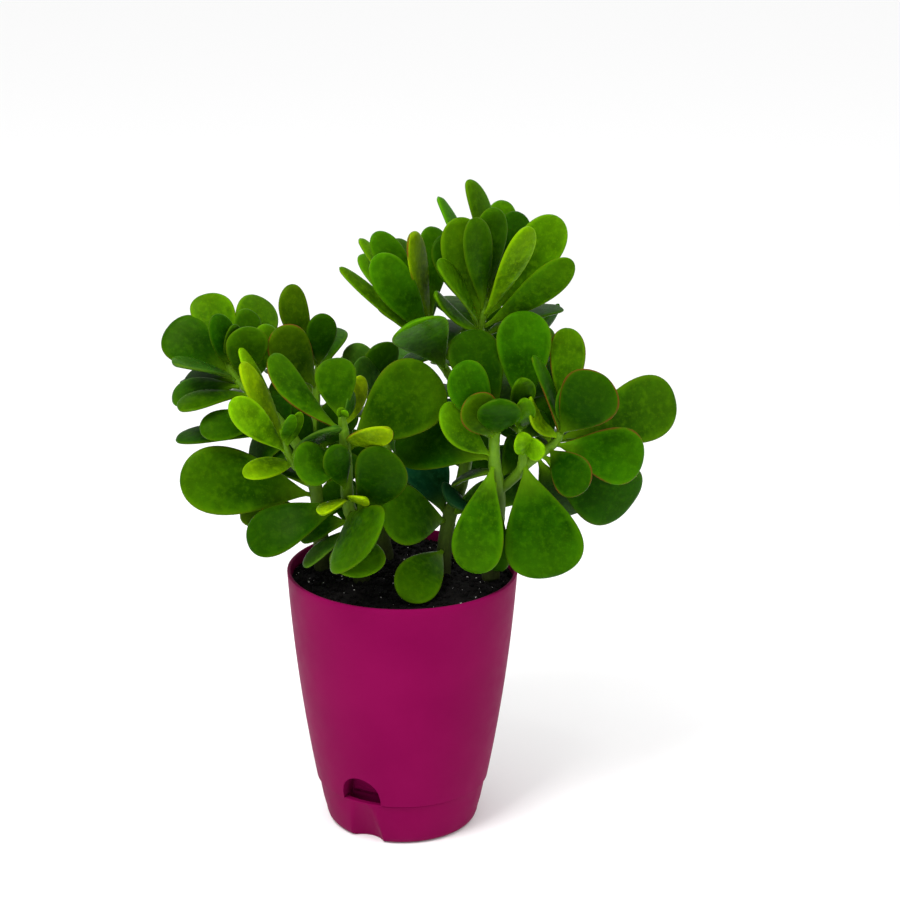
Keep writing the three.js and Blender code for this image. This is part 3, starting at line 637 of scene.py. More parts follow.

# %% [markdown]
# ## The shoots
# d, m and l are much the same green at three brightnesses: partly each leaf's own tone, and partly
# painted shade and light, darker where a leaf sits in the plant's shade.
#
# Each row is one shoot. "foot" is where it stands in the soil, and "from" is its place on
# another shoot. "stem" lists [right, up, near, radius]. "leaves" lists [place on the stem,
# then right, up and near of the tip, width, turn, bow, sweep]: turn 0 faces the eye, 90 is
# edge-on, and bow and sweep push the middle of the leaf off its straight line. A row without a
# sweep has none. "far" leaves point away from the front: [place, azimuth, rise, length,
# width]. "tones" holds a letter for each leaf that is seen: d dark, m middle, l light, y
# yellow-green, g grey-green, b bluish and o olive. A capital means a red-brown margin.
#
# A program could grow the shoots, but it wouldn't give this plant's outline, so the rows are
# listed stem by stem. The tall stem forks near the top into two crowns, and a few long leaves hang
# from its lower part, between the other stems.

# %% The tall stem
SHOOTS = [
    {"node": "stem_tall", "name": "crown_right", "foot": [20, -1],
     "stem": [[23, 23, -4, 3.6], [30, 44, -7, 3.2], [35, 75, -8, 2.9], [38, 105, -6, 2.6],
         [39, 121, -3, 2.4], [42, 134, -1, 1.5]],
     "leaves": [[5.9, 33, 193.5, -6, 15.5, 50, 0, 7], [5.3, 18, 185, -30, 14, 62, 3],
         [5.0, 27.5, 174.5, 10, 22, 5, 2], [5.45, 35, 174, 20, 17, 35, 2],
         [5.75, 45, 179.5, 2, 18, 30, 0], [5.6, 51, 183, -30, 17, 10, 2],
         [5.85, 59, 177, -22, 18, 15, 2], [5.3, 63, 170, 16, 17, 45, 2],
         [5.15, 78.5, 174.5, -5, 23, 10, 2], [4.9, 85, 153, 14, 16, 15, 1, 1],
         [4.85, 17.5, 152, 22, 16, 66, 3], [4.75, 16, 137, 4, 13, 66, -2],
         [5.95, 37, 141, 5, 4, 10, 1], [5.1, 20, 166, -9, 21, 15, 2],
         [1.0, -11, 27, 26, 31, 15, 3], [0.5, 0, -15.5, 44, 23, 0, 4],
         [1.1, 6, 58, -20, 25, 20, 3], [1.2, 42.5, 43, 2, 12, 40, 2], [1.6, 23, 33, 7, 18, 12, 3]],
     "tones": "lllomldylmllldmmbgb",
     "far": [[4.95, 5, 24, 46, 21], [4.5, 62, 12, 46, 21], [4.4, -22, 15, 44, 20],
         [3.6, -25, 8, 42, 20]]},
    {"node": "stem_tall", "name": "crown_left", "from": ["crown_right", 3.0],
     "stem": [[27, 90, -9, 2.4], [22, 98, -9, 2.2], [16, 107, -11, 2.0], [14, 118, -12, 1.8],
         [14, 126, -12, 1.2]],
     "leaves": [[3.3, -31.5, 149.5, -4, 11, 52, 0], [3.6, -13.5, 155.5, 10, 19.5, 8, 2],
         [4.0, -21.5, 164, -26, 13, 55, 1], [3.5, -21, 156, -36, 15, 40, 1],
         [4.4, -14, 167, -15, 16, 20, 2], [4.6, -3.5, 164, -30, 15, 40, 2],
         [4.2, 4.5, 167, 0, 18, 58, 0], [4.8, 15.5, 170, -34, 17, 25, 2],
         [2.0, 5, 122, 36, 28, -12, -5]],
     "tones": "llllmgYml",
     "far": [[3.1, -35, 20, 44, 20], [2.6, 5, 12, 42, 20], [4.0, -10, 20, 36, 16]]},
]
print("shoots so far:", len(SHOOTS))

# %% [markdown]
# The right stem branches twice. The broadest leaves of the plant sit on it, and the outermost
# ones reach far past the pot's rim, on a shoot of their own that runs outwards.

# %% The right stem
SHOOTS += [
    {"node": "stem_right", "name": "right_near", "foot": [44, -4],
     "stem": [[46, 12, 8, 4.0], [48, 34, 20, 3.4], [46, 52, 29, 3.0], [46, 64, 31, 2.6],
         [48, 72, 28, 2.2], [49, 80, 26, 1.4]],
     "leaves": [[4.9, 31.5, 118, 12, 26, 12, 3], [4.4, 28.5, 102, 36, 21, 10, 2, -2],
         [4.0, 19.5, 83, 14, 14, 50, 2], [3.3, 19.5, 80, 38, 18, 30, 3, -4],
         [4.1, 33, 84.5, 44, 20, 15, 3], [4.3, 49, 83.5, 56, 21, 10, 2],
         [3.0, 35.5, -3, 44, 25, 8, 5], [2.6, 47, -2, 20, 17, 20, 4], [3.1, -2, 69, 5, 34, 5, 4],
         [2.7, 25.5, 41, 10, 12, 72, 2], [2.5, 61, 62, 6, 19, 15, 2], [1.7, 60, 46, 2, 20, 15, 2]],
     "tones": "dmblOdmddgmg",
     "far": [[4.7, 10, 20, 44, 21], [2.4, 10, 5, 42, 20]]},
    {"node": "stem_right", "name": "right_middle", "from": ["right_near", 2.2],
     "stem": [[57, 46, 25, 2.5], [60, 52, 27, 2.4], [60, 62, 25, 2.1], [60, 72, 22, 1.9],
         [60, 80, 21, 1.2]],
     "leaves": [[2.0, 75, -5, 40, 38, 5, 5], [2.5, 59, 67, 42, 10, 20, 2],
         [2.9, 71, 59, 42, 12, 25, 2], [4.4, 60.5, 128, 12, 26.5, 5, 3],
         [4.8, 59, 94, 42, 13, 20, 2], [3.7, 60.5, 84, 50, 11, 20, 2],
         [3.3, 70, 78, 24, 14, 30, 2]],
     "tones": "myymmld",
     "far": [[4.1, 35, 22, 44, 21], [3.2, -6, 0, 40, 19]]},
    {"node": "stem_right", "name": "right_far", "from": ["right_middle", 1.6],
     "stem": [[68, 56, 25, 2.4], [76, 62, 24, 2.2], [79, 68, 23, 1.9], [81, 75, 22, 1.2]],
     "leaves": [[2.5, 63.5, 83.5, 40, 13, 56, -4], [3.6, 82.5, 119.5, 8, 18, 15, 2],
         [3.3, 74, 103, 0, 13, 40, 2], [3.4, 85, 93.5, 30, 14, 20, 2],
         [3.2, 90, 87, 10, 13, 30, 2], [2.8, 101.5, 95, 48, 29, 0, 2],
         [2.4, 136, 85, -2, 32, 10, 3], [2.0, 120.5, 54, 28, 28, 8, 4],
         [1.6, 92, 39, 48, 21, 15, 3], [1.1, 115, 32, 6, 36, 15, 4],
         [2.9, 65, 105.5, 28, 12, 62, 2], [1.8, 64, 84, 16, 21, 18, 2],
         [0.9, 86, 27, 2, 24, 20, 3]],
     "tones": "yLdmyDoMDdMdd",
     "far": [[2.9, 20, 20, 44, 21], [2.1, 50, -8, 46, 23], [1.3, 10, -5, 44, 21]]},
]
print("shoots so far:", len(SHOOTS))

# %% [markdown]
# The left stem leans out over the rim and ends in a raised tuft. One short shoot comes
# forward from its middle, and another one fills the space behind.

# %% The left stem
SHOOTS += [
    {"node": "stem_left", "name": "left_high", "foot": [-40, 8],
     "stem": [[-41, 20, -4, 3.8], [-43, 38, 4, 3.4], [-47, 52, 8, 3.0], [-56, 66, 8, 2.6],
         [-68, 80, 4, 2.4], [-79, 90, 2, 2.1], [-85, 97, 1, 1.8], [-88, 105, 0, 1.1]],
     "leaves": [[6.9, -117, 120, -10, 25, 8, 2], [7.8, -99.5, 136, -18, 21, 5, 0, 2],
         [7.5, -93.5, 126, 7, 14, 25, 2], [6.6, -70, 134.5, -38, 23, 15, 2],
         [7.2, -75, 128, -20, 16, 25, 1], [7.7, -84, 121, 9, 10, 40, 1],
         [6.2, -77, 120, 11, 21, 15, 2], [5.8, -66, 121, -12, 15, 25, 1],
         [6.5, -114.5, 102, 18, 18, 76, 2], [6.4, -108, 94, -12, 20, 50, 2],
         [6.1, -115, 83.5, 4, 18, 45, 3], [5.6, -112, 79, 20, 15, 55, 3],
         [4.6, -101, 68, 20, 16, 22, 3], [4.1, -113, 64, 0, 17, 58, 2],
         [3.8, -76, 57, -8, 21, 30, 2], [1.9, -111, 45, 20, 34, 10, 6],
         [1.3, -81, 27, -6, 19, 30, 3], [4.0, -68, 84, -6, 20, 12, 2],
         [3.2, -64, 62, -4, 19, 15, 2], [1.2, -29, 44, 3, 18, 20, 2]],
     "tones": "dldlmdolgdmmmddmoddd",
     "far": [[6.3, -10, 12, 42, 21], [5.8, -50, -4, 42, 21], [4.7, -25, 0, 46, 22],
         [3.6, -18, -5, 44, 21], [2.0, -40, 5, 42, 21]]},
    {"node": "stem_left", "name": "left_front", "from": ["left_high", 2.8],
     "stem": [[-52, 50, 18, 2.4], [-56, 55, 24, 2.2], [-59, 62, 28, 1.8], [-60, 68, 30, 1.2]],
     "leaves": [[3.5, -81, 109.5, 16, 12, 55, 0], [3.0, -80.5, 102, 36, 14, 45, 0],
         [2.4, -86, 82.5, 50, 16, 20, 2], [1.5, -79.5, 46, 38, 12, 30, 2],
         [1.9, -32, 69.5, 50, 14, 62, -2], [3.2, -55, 76, 52, 7, 25, 1],
         [2.8, -51, 77.5, 43, 7, 25, 1]],
     "tones": "yyyygll",
     "far": []},
    {"node": "stem_left", "name": "left_back", "from": ["left_high", 2.0],
     "stem": [[-43, 54, -4, 2.5], [-43, 72, -12, 2.3], [-43, 86, -15, 2.1], [-42, 98, -17, 1.8],
         [-42, 106, -18, 1.2]],
     "leaves": [[3.3, -63.5, 118.5, 3, 22, 12, 2], [4.3, -56.5, 141, -18, 15, 10, 2, -3],
         [4.2, -40, 126.5, -4, 15, 10, 2], [2.4, -66, 91, -10, 19, 25, 2],
         [1.9, -25, 74, -16, 21, 20, 2], [1.4, -24, 44, -8, 21, 15, 2],
         [1.2, -28, 83, 1, 20, 15, 2], [1.1, -60, 78, 0, 20, 15, 2]],
     "tones": "Oodddddd",
     "far": [[3.7, 10, 20, 42, 19], [2.9, -30, 5, 44, 21], [4.1, -25, 20, 34, 16],
         [1.9, 0, -5, 44, 21]]},
]
print("shoots so far:", len(SHOOTS))

# %% [markdown]
# The front stem is short and stands nearest to the eye. Its leaves spill over the rim and
# hide the feet of the other stems.

# %% The front stem
SHOOTS += [
    {"node": "stem_front", "name": "front", "foot": [-20, -10],
     "stem": [[-22, 16, 16, 3.8], [-27, 32, 26, 3.2], [-28, 52, 34, 2.9], [-29, 66, 38, 2.5],
         [-30, 73, 40, 2.0], [-30, 77, 41, 1.2]],
     "leaves": [[4.2, -65.5, 106, 24, 17, 38, -1, -4], [4.7, -34, 104.5, 31, 20, 8, 2, -1],
         [2.9, -54, 51.5, 52, 22, 18, 2], [2.4, -35.5, 60, 52, 15, 20, 1],
         [3.8, -5.5, 68.5, 55, 14, 45, 2], [3.4, 17, 97, 27, 36, 5, 3],
         [4.9, -25, 88, 32, 9, 60, 1], [4.5, -19.5, 95, 16, 11, 30, 1],
         [2.0, -77, 11, 34, 25, 22, 4], [1.4, -51, 17, 12, 19, 40, 2],
         [1.7, -10, 60, 50, 26, 8, 3, 5], [2.1, -40, 26.5, 54, 12, 68, 2],
         [2.2, -18, 34, 46, 10, 66, 1], [1.8, -18, 6, 66, 40, 33, 2], [1.2, -22, -5, 50, 27, 0, 3],
         [1.2, -49, 0, 32, 12, 55, 2], [5.6, -32, 79, 45, 5, 20, 1], [5.7, -28, 78, 45, 5, 20, 1]],
     "tones": "MmmdYogydddyymmgll",
     "far": []},
]
print("shoots so far:", len(SHOOTS))

# %% [markdown]
# The back stem hardly shows from the front. It keeps the plant full when it is seen from behind,
# and its dark leaves, partly their own deep green and partly painted shade, close the gaps between
# the crowns.

# %% The back stem
SHOOTS += [
    {"node": "stem_back", "name": "back_left", "foot": [-8, 22],
     "stem": [[-12, 32, -26, 3.6], [-8, 60, -34, 3.0], [-6, 80, -42, 2.5], [-6, 90, -46, 2.1],
         [-6, 98, -48, 1.2]],
     "leaves": [[4.0, -28.5, 109, -48, 17, 30, 2], [4.5, -13, 111, -40, 19, 10, 2],
         [3.7, -24, 100, -28, 17, 35, 1], [2.2, 0, 62, -24, 17, 35, 1],
         [1.5, -36, 62, -34, 25, 10, 2], [1.2, 18, 50, -26, 24, 15, 2],
         [1.0, -34, 34, -18, 22, 15, 2]],
     "tones": "gdggddd",
     "far": [[3.6, 0, 16, 46, 23], [3.1, -62, 5, 46, 23], [2.8, 50, 5, 48, 23],
         [2.4, -20, -5, 50, 25], [4.1, -40, 12, 36, 17], [4.6, 50, 10, 34, 17],
         [1.9, 25, -5, 48, 23], [1.4, -70, 10, 44, 21]]},
    {"node": "stem_back", "name": "back_right", "from": ["back_left", 1.4],
     "stem": [[8, 58, -40, 2.6], [30, 76, -48, 2.4], [48, 94, -52, 2.2], [57, 106, -52, 1.9],
         [60, 116, -52, 1.2]],
     "leaves": [[4.0, 45, 128, -46, 17, 20, 2], [3.5, 30, 122, -56, 15, 30, 1],
         [4.3, 78, 131.5, -46, 9, 62, 2], [3.9, 76, 116, -64, 15, 30, 1],
         [1.2, 48, 58, -30, 24, 15, 2], [2.2, 66, 74, -36, 24, 20, 2]],
     "tones": "dgdgdd",
     "far": [[4.1, 0, 16, 44, 22], [3.2, 50, 0, 46, 23], [3.0, -45, 0, 44, 21],
         [2.3, 20, -12, 46, 23], [4.6, 25, 15, 32, 16], [1.6, -10, -12, 44, 21]]},
]
STEMS = list(dict.fromkeys(shoot["node"] for shoot in SHOOTS))
print("shoots:", len(SHOOTS), "leaves:", sum(len(s["leaves"] + s["far"]) for s in SHOOTS))

# %% [markdown]
# ## Stems
#
# Each stem follows a smooth line through its points, thinner towards the tip. A curve object
# with a round bevel could draw it, but the leaves need the same line, to grow from it. So one
# function gives the place and the radius anywhere along the points.

# %% Lines through points
FOOT_SWELL = 0.4


def along(knots, place):
    """The line at places that count the knots: a cubic between two knots whose slopes are half
    the way from the knot before to the knot after. Returns positions and radii."""
    place = np.atleast_1d(np.asarray(place, float))
    last = len(knots) - 1
    low = np.clip(np.floor(place).astype(int), 0, last - 1)
    t = (place - low)[:, None]
    a, b = knots[low, :3], knots[low + 1, :3]
    slope_a = (b - knots[np.maximum(low - 1, 0), :3]) / 2
    slope_b = (knots[np.minimum(low + 2, last), :3] - a) / 2
    at = ((2 * t**3 - 3 * t**2 + 1) * a + (t**3 - 2 * t**2 + t) * slope_a
          + (3 * t**2 - 2 * t**3) * b + (t**3 - t**2) * slope_b)
    radius = knots[low, 3] + (knots[low + 1, 3] - knots[low, 3]) * t[:, 0]
    return at, radius


def unit(vectors):
    """Vectors divided by their lengths."""
    return vectors / np.linalg.norm(vectors, axis=-1, keepdims=True)


for shoot in SHOOTS:
    knots = [[*seen(right, up, near), radius] for right, up, near, radius in shoot["stem"]]
    if "foot" in shoot:
        x, y = shoot["foot"]
        start = [x, y, float(soil_top(x, y)), knots[0][3] + FOOT_SWELL]
    else:
        parent, place = shoot["from"]
        at, _ = along(next(s["knots"] for s in SHOOTS if s["name"] == parent), place)
        start = [*at[0], knots[0][3]]
    shoot["knots"] = np.array([start, *knots])
print("first stem starts at", SHOOTS[0]["knots"][0].round(1))

# %% [markdown]
# Old leaves leave rings around a stem, so its radius swells a little every seven millimetres.
# A tube also needs a direction across the line at every ring. The stems all rise, so a
# direction square to the run and to the Y axis never flips over.

# %% The stems' skins
RINGS_EACH, ROOT_DEPTH, ROOT_SWELL = 16, 14, 0.3
SCAR_STEP, SCAR_WIDTH, SCAR_SWELL = 7, 0.8, 0.06


def stem_rings(shoot, columns=20):
    """Radius = the line's, times one plus a bell curve of height SCAR_SWELL every SCAR_STEP mm,
    times a quarter circle over the last radius, which rounds the end off."""
    knots = shoot["knots"]
    place = np.linspace(0, len(knots) - 1, RINGS_EACH * (len(knots) - 1) + 1)
    at, radius = along(knots, place)
    if "foot" in shoot:
        root = at[0] - ROOT_DEPTH * UP
        at, radius = np.vstack([root, at]), np.append(radius[0] + ROOT_SWELL, radius)
    length = np.append(0, np.cumsum(np.linalg.norm(np.diff(at, axis=0), axis=1)))
    scar = np.exp(-((((length + knots[0, 0]) % SCAR_STEP) - SCAR_STEP / 2) / SCAR_WIDTH) ** 2)
    left = (length[-1] - length) / radius[-1]
    radius = radius * (1 + SCAR_SWELL * scar) * np.sqrt(1 - np.clip(1 - left, 0, 0.97) ** 2)
    run = unit(np.gradient(at, axis=0))
    side = unit(np.cross(run, [0, 1, 0]))
    front = np.cross(run, side)
    angle = np.linspace(0, 2 * math.pi, columns, endpoint=False)[:, None]
    spokes = side[:, None] * np.cos(angle) + front[:, None] * np.sin(angle)
    return at[:, None] + spokes * radius[:, None, None]


print("rings and columns of the first stem:", stem_rings(SHOOTS[0]).shape[:2])

# %% [markdown]
# ## The stems' finish
#
# Young jade stems are as smooth and green as the leaves. Older ones turn dull and dark olive
# brown. The skin's age is stored on the points, from 0, young, to 1, woody, and blends the two.
# Two materials would meet at a hard line. One fine noise gives the specks and the bump.

# %% Finish: stem skin
YOUNG_DARK, YOUNG_LIGHT = (0.06, 0.17, 0.003), (0.14, 0.28, 0.008)
OLD_DARK, OLD_LIGHT = (0.008, 0.012, 0.002), (0.034, 0.046, 0.007)
WOODY_HEIGHT = 70
recipe = Recipe("jade stem skin")
age = recipe.value("age")
speckle = recipe.noise(500.0, 5.0)
young = recipe.mix(speckle, YOUNG_DARK, YOUNG_LIGHT)
old = recipe.mix(speckle, OLD_DARK, OLD_LIGHT)
recipe.set(
    recipe.shader,
    Base_Color=recipe.mix(age, young, old),
    Roughness=recipe.ranged(age, 0, 1, 0.4, 0.8),
    Specular_IOR_Level=0.12,
    Normal=recipe.bump(speckle, 0.35, 0.0006),
)
stem_skin = recipe.material

for node in STEMS:
    skins = [stem_rings(shoot) for shoot in SHOOTS if shoot["node"] == node]
    points, quads, fans = gathered(skins)
    woody = np.clip(1.1 - (points[:, 2] - SOIL_EDGE) / WOODY_HEIGHT, 0, 1)
    branches = mesh_piece(f"{node}_branches", points, quads, fans, stem_skin, {"age": woody})
    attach(branches, "root")
    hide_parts(node)

# %% [markdown]
# ## Leaf form
#
# A jade leaf is a thick paddle: a narrow petiole, the widest place past the middle, a round
# tip and a cushion-like edge. A subdivided box could be pushed into that shape, but not 163
# times. So its outline is a formula: share to a power times the root of one minus share.
# Across, it is an ellipse that is lifted towards both edges, with a shallow groove up the
# upper face. All leaves of a node are one array with a leaf, a length and a section axis.

# %% The leaves' skins
LENGTHS, SECTION, LAST_SHARE = 30, 24, 0.9985
NARROW, NARROW_POWER, BROAD_POWER = 15, 0.8, 1.3
LEAF_THICK, THICK_BY_WIDTH, THICK_BY_HALF, THINNEST = 3.2, 0.11, 0.7, 0.1
PETIOLE, CUP, TIP_ROUND, EDGE_THIN = 1.2, 0.07, 0.035, 0.15
GROOVE_DEPTH, GROOVE_WIDTH = 0.28, 0.16
SHARE = np.sin(np.linspace(0, 1, LENGTHS) * math.pi / 2) * LAST_SHARE
TURN = np.linspace(0, 2 * math.pi, SECTION, endpoint=False)


def leaf_skins(leaves):
    """Points (leaf, length, section, 3) from root, tip, face, width, bow and sweep of each.

    Half width = the larger of the petiole's and the outline's, joined softly. The middle line
    bows by 4 share (1 - share). Across = half cos(turn). Height = thickness sin(turn), thinner
    at the edges, less a bell-shaped groove, plus the cup's lift, the square of across.
    """
    root, tip, face = (np.array([leaf[key] for leaf in leaves]) for key in ("root", "tip", "face"))
    width, bow, sweep = (np.array([leaf[key] for leaf in leaves], float)[:, None]
                         for key in ("width", "bow", "sweep"))
    run = unit(tip - root)
    side = np.cross(run, face)
    length = np.linalg.norm(tip - root, axis=1)[:, None]
    power = np.where(width < NARROW, NARROW_POWER, BROAD_POWER)
    widest = power / (power + 0.5)
    outline = (SHARE / widest) ** power * np.sqrt((1 - SHARE) / (1 - widest)) * width / 2
    half = (outline**6 + (PETIOLE * (1 - SHARE)) ** 6) ** (1 / 6)
    high = np.minimum(LEAF_THICK / 2, width * THICK_BY_WIDTH)
    high = np.minimum(high, half * THICK_BY_HALF) + THINNEST
    high = high * np.clip((1 - SHARE) / TIP_ROUND, 0, 1) ** 0.5
    arch = 4 * SHARE * (1 - SHARE)
    middle = (root[:, None] + run[:, None] * (length * SHARE)[..., None]
              + face[:, None] * (bow * arch)[..., None]
              + side[:, None] * (np.sign(side[:, :1]) * sweep * arch)[..., None])
    across = half[..., None] * np.cos(TURN)
    groove = GROOVE_DEPTH * np.exp(-((np.cos(TURN) / GROOVE_WIDTH) ** 2)) * (np.sin(TURN) > 0)
    rise = (high[..., None] * np.sin(TURN) * (1 - EDGE_THIN * np.cos(TURN) ** 2)
            - groove * np.minimum(high, 1)[..., None] * (1 - SHARE[:, None])
            + CUP * half[..., None] * np.cos(TURN) ** 2)
    return (middle[:, :, None] + side[:, None, None] * across[..., None]
            + face[:, None, None] * rise[..., None])


print("points in a leaf:", LENGTHS * SECTION)

# %% [markdown]
# A leaf grows from the side of the stem that looks towards its tip, a little sunk into it, so
# that no gap shows. Its face is turned round the leaf's own middle line.

# %% Where a leaf starts, and where it faces
ROOT_SUNK = 1.3


def leaf_root(shoot, place, reach):
    """The line's point, moved by the radius towards the far point, square to the line."""
    at, radius = along(shoot["knots"], place)
    below, above = along(shoot["knots"], [place - 0.2, place + 0.2])[0]
    run = unit(above - below)
    side = reach - at[0]
    side = unit(side - run * side.dot(run))
    return at[0] + side * (radius[0] - ROOT_SUNK)


def turned_face(face, run, turn=0):
    """The face made square to the run, times the turn's cosine, plus a sideways direction
    times its sine."""
    face = unit(face - run * face.dot(run))
    turn = math.radians(turn)
    return face * math.cos(turn) + np.cross(run, face) * math.sin(turn)


print("a level leaf's face:", turned_face(UP, np.array([1.0, 0, 0])))

# %% [markdown]
# Leaves that show in front are placed by their tips. The others, which only show from the
# sides and the back, are placed by a direction and a length.

# %% Where each leaf lies
FAR_BOW, FAR_TONES = 3, "mdmlmdml"


def seen_leaf(shoot, row):
    """The tip is where it is seen, and the face looks at the eye, turned by the row's turn."""
    place, right, up, near, width, turn, bow, *sweep = row
    tip = seen(right, up, near)
    root = leaf_root(shoot, place, tip)
    run = unit(tip - root)
    face = turned_face(unit(EYE - (root + tip) / 2), run, turn)
    return dict(root=root, tip=tip, face=face, width=width, bow=bow, sweep=sum(sweep))


def far_leaf(shoot, row):
    """The run is the sine and cosine of the azimuth times the cosine of the rise, and the sine
    of the rise. The face looks up, and the tip is a length further on than the root."""
    place, azimuth, rise, length, width = row
    around, climb = math.radians(azimuth), math.radians(rise)
    run = np.array([math.sin(around) * math.cos(climb), math.cos(around) * math.cos(climb),
                    math.sin(climb)])
    root = leaf_root(shoot, place, along(shoot["knots"], place)[0][0] + run * length)
    return dict(root=root, tip=root + run * length, face=turned_face(UP, run), width=width,
                bow=FAR_BOW, sweep=0)


for shoot in SHOOTS:
    letters = shoot["tones"] + FAR_TONES[:len(shoot["far"])]
    shoot["blades"] = [seen_leaf(shoot, row) for row in shoot["leaves"]]
    shoot["blades"] += [far_leaf(shoot, row) for row in shoot["far"]]
    for blade, letter in zip(shoot["blades"], letters, strict=True):
        blade["tone"] = letter
print("longest leaf:", round(max(float(np.linalg.norm(b["tip"] - b["root"]))
                                 for s in SHOOTS for b in s["blades"]), 1), "mm")

# %% [markdown]
# ## Leaf finish
#
# The skin is waxy: deep green with a soft shine, paler along the groove, with faint mottling and
# pale dots. Painted light makes it paler towards the tip and in a band along the edge, and painted
# shade darkens the middle of each face. Young leaves are yellow-green, and a few have a thin
# red-brown margin. Colour, margin and the place on the leaf are stored on the points, so that one
# material serves every leaf and the pattern follows each surface.

# %% Finish: the leaf's greens
# The first colour is a near-black green: painted shade in the middle of each leaf's face, and the
# dark of the small pits.
LEAF_DARK_AND_PAINTED_SHADE, LEAF_UNDERSIDE = (0.002, 0.018, 0.0002), (0.04, 0.12, 0.003)
recipe = Recipe("waxy jade leaf")
own, pale = recipe.value("leaf_colour", "Color"), recipe.value("leaf_pale", "Color")
across, share = recipe.value("across"), recipe.value("share")
upper, margin = recipe.value("upper"), recipe.value("margin")
dark_and_painted_shade = recipe.mix(0.74, own, LEAF_DARK_AND_PAINTED_SHADE)
cloud = recipe.ranged(recipe.noise(85.0, 8.0), 0.34, 0.62)
# Painted shade: each leaf is darker in the middle of its face, and its own green grows towards the
# sides.
painted_light_across = recipe.ranged(across, 0.0, 0.85, 0.35, 1.0)
colour = recipe.mix(recipe.times(cloud, painted_light_across), dark_and_painted_shade, own)
blotch = recipe.ranged(recipe.noise(330.0, 6.0), 0.47, 0.68, 0.0, 0.32)
colour = recipe.mix(blotch, colour, pale)
pit = recipe.ranged(recipe.noise(560.0, 5.0), 0.5, 0.7, 0.0, 0.35)
colour = recipe.mix(pit, colour, dark_and_painted_shade)
# Painted light: each leaf gets paler towards its tip, which reaches out of the plant's shade.
painted_tip_light = recipe.ranged(share, 0.55, 1.0, 0.0, 0.35)
colour = recipe.mix(painted_tip_light, colour, pale)
# Painted light: a pale band along each leaf's rounded edge, where it catches the light.
edge = recipe.ranged(across, 0.78, 0.99, 0.0, 0.75)
colour = recipe.mix(edge, colour, pale)
vein = recipe.ranged(across, 0.0, 0.07, 0.1, 0.0)
colour = recipe.mix(vein, colour, pale)
underside = recipe.mix(0.25, colour, LEAF_UNDERSIDE)
colour = recipe.mix(upper, underside, colour)
print("nodes for the greens:", len(recipe.nodes))

# %% [markdown]
# The leaf's foot is a fresh yellow-green that fades out upwards. The red-brown line is a band
# at the edge times the leaf's margin, and a slow noise wears it away in places. The dots are
# the middles of Voronoi cells, about 1.6 millimetres apart.

# %% Finish: foot, margin, dots and wax
LEAF_FRESH, LEAF_MARGIN = (0.24, 0.50, 0.008), (0.11, 0.03, 0.006)
foot = recipe.ranged(share, 0.0, 0.4, 0.95, 0.0)
fresh = recipe.mix(0.55, own, LEAF_FRESH)
colour = recipe.mix(recipe.times(foot, foot), colour, fresh)
worn = recipe.ranged(recipe.noise(60.0, 2.0), 0.36, 0.52)
rim = recipe.times(recipe.times(recipe.ranged(across, 0.91, 0.98), margin), worn)
colour = recipe.mix(rim, colour, LEAF_MARGIN)
dots = recipe.nodes.new("ShaderNodeTexVoronoi")
recipe.set(dots, Vector=recipe.place(), Scale=620.0)
dot = recipe.ranged(dots.outputs["Distance"], 0.14, 0.26, 0.24, 0.0)
colour = recipe.mix(dot, colour, pale)
recipe.set(
    recipe.shader,
    Base_Color=colour,
    Roughness=recipe.ranged(recipe.noise(160.0, 3.0), 0.3, 0.7, 0.22, 0.38),
    Subsurface_Weight=0.05,
    Subsurface_Scale=0.002,
    Specular_IOR_Level=0.03,
    Specular_Tint=(0.6, 1.0, 0.15, 1),
    Normal=recipe.bump(recipe.noise(300.0, 4.0), 0.3, 0.0005),
)
waxy_leaf = recipe.material
print("nodes in all:", len(recipe.nodes))

# %% [markdown]
# The greens are a short palette, and its dark, middle and light greens are partly painted shade
# and light. A seeded random generator then moves each leaf a little lighter or darker, because no
# two leaves of a plant match.

# %% What the leaves' points carry
# d, m and l are much the same green at three brightnesses: partly each leaf's own tone, and partly
# painted shade and light.
GREENS = {
    "d": (0.008, 0.046, 0.0003), "m": (0.020, 0.083, 0.0004), "l": (0.037, 0.134, 0.0006),
    "y": (0.125, 0.265, 0.001), "g": (0.022, 0.076, 0.005), "b": (0.003, 0.046, 0.018),
    "o": (0.025, 0.076, 0.0005),
}
RED_MARGIN, PLAIN_MARGIN = 0.9, 0.12
chance = np.random.default_rng(12)


def leaf_values(blades):
    """For each leaf its green times a random factor, with the red part varied once more, a
    paler green and its margin. For each point the size of its turn's cosine, its share, and
    three times its turn's sine plus a half, held between 0 below and 1 above."""
    each = LENGTHS * SECTION + 2
    around = np.append(np.tile(np.abs(np.cos(TURN)), LENGTHS), [0, 1])
    shares = np.append(np.repeat(SHARE, SECTION), [0, 1])
    uppers = np.append(np.tile(np.clip(np.sin(TURN) * 3 + 0.5, 0, 1), LENGTHS), [0.5, 0.5])
    greens = np.array([GREENS[blade["tone"].lower()] for blade in blades])
    greens = greens * chance.uniform(0.85, 1.18, (len(blades), 1))
    greens[:, 0] *= chance.uniform(0.75, 1.2, len(blades))
    pales = greens * [2.0, 1.6, 1.5] + [0.01, 0.016, 0]
    margins = np.array([RED_MARGIN if blade["tone"].isupper() else PLAIN_MARGIN
                        for blade in blades])
    return {
        "leaf_colour": np.repeat(greens, each, axis=0),
        "leaf_pale": np.repeat(pales, each, axis=0),
        "margin": np.repeat(margins, each),
        "across": np.tile(around, len(blades)),
        "share": np.tile(shares, len(blades)),
        "upper": np.tile(uppers, len(blades)),
    }


print("greens:", ", ".join(GREENS))

# %% [markdown]
# Now every node gets its leaves: one mesh with all of them, which carries these values.

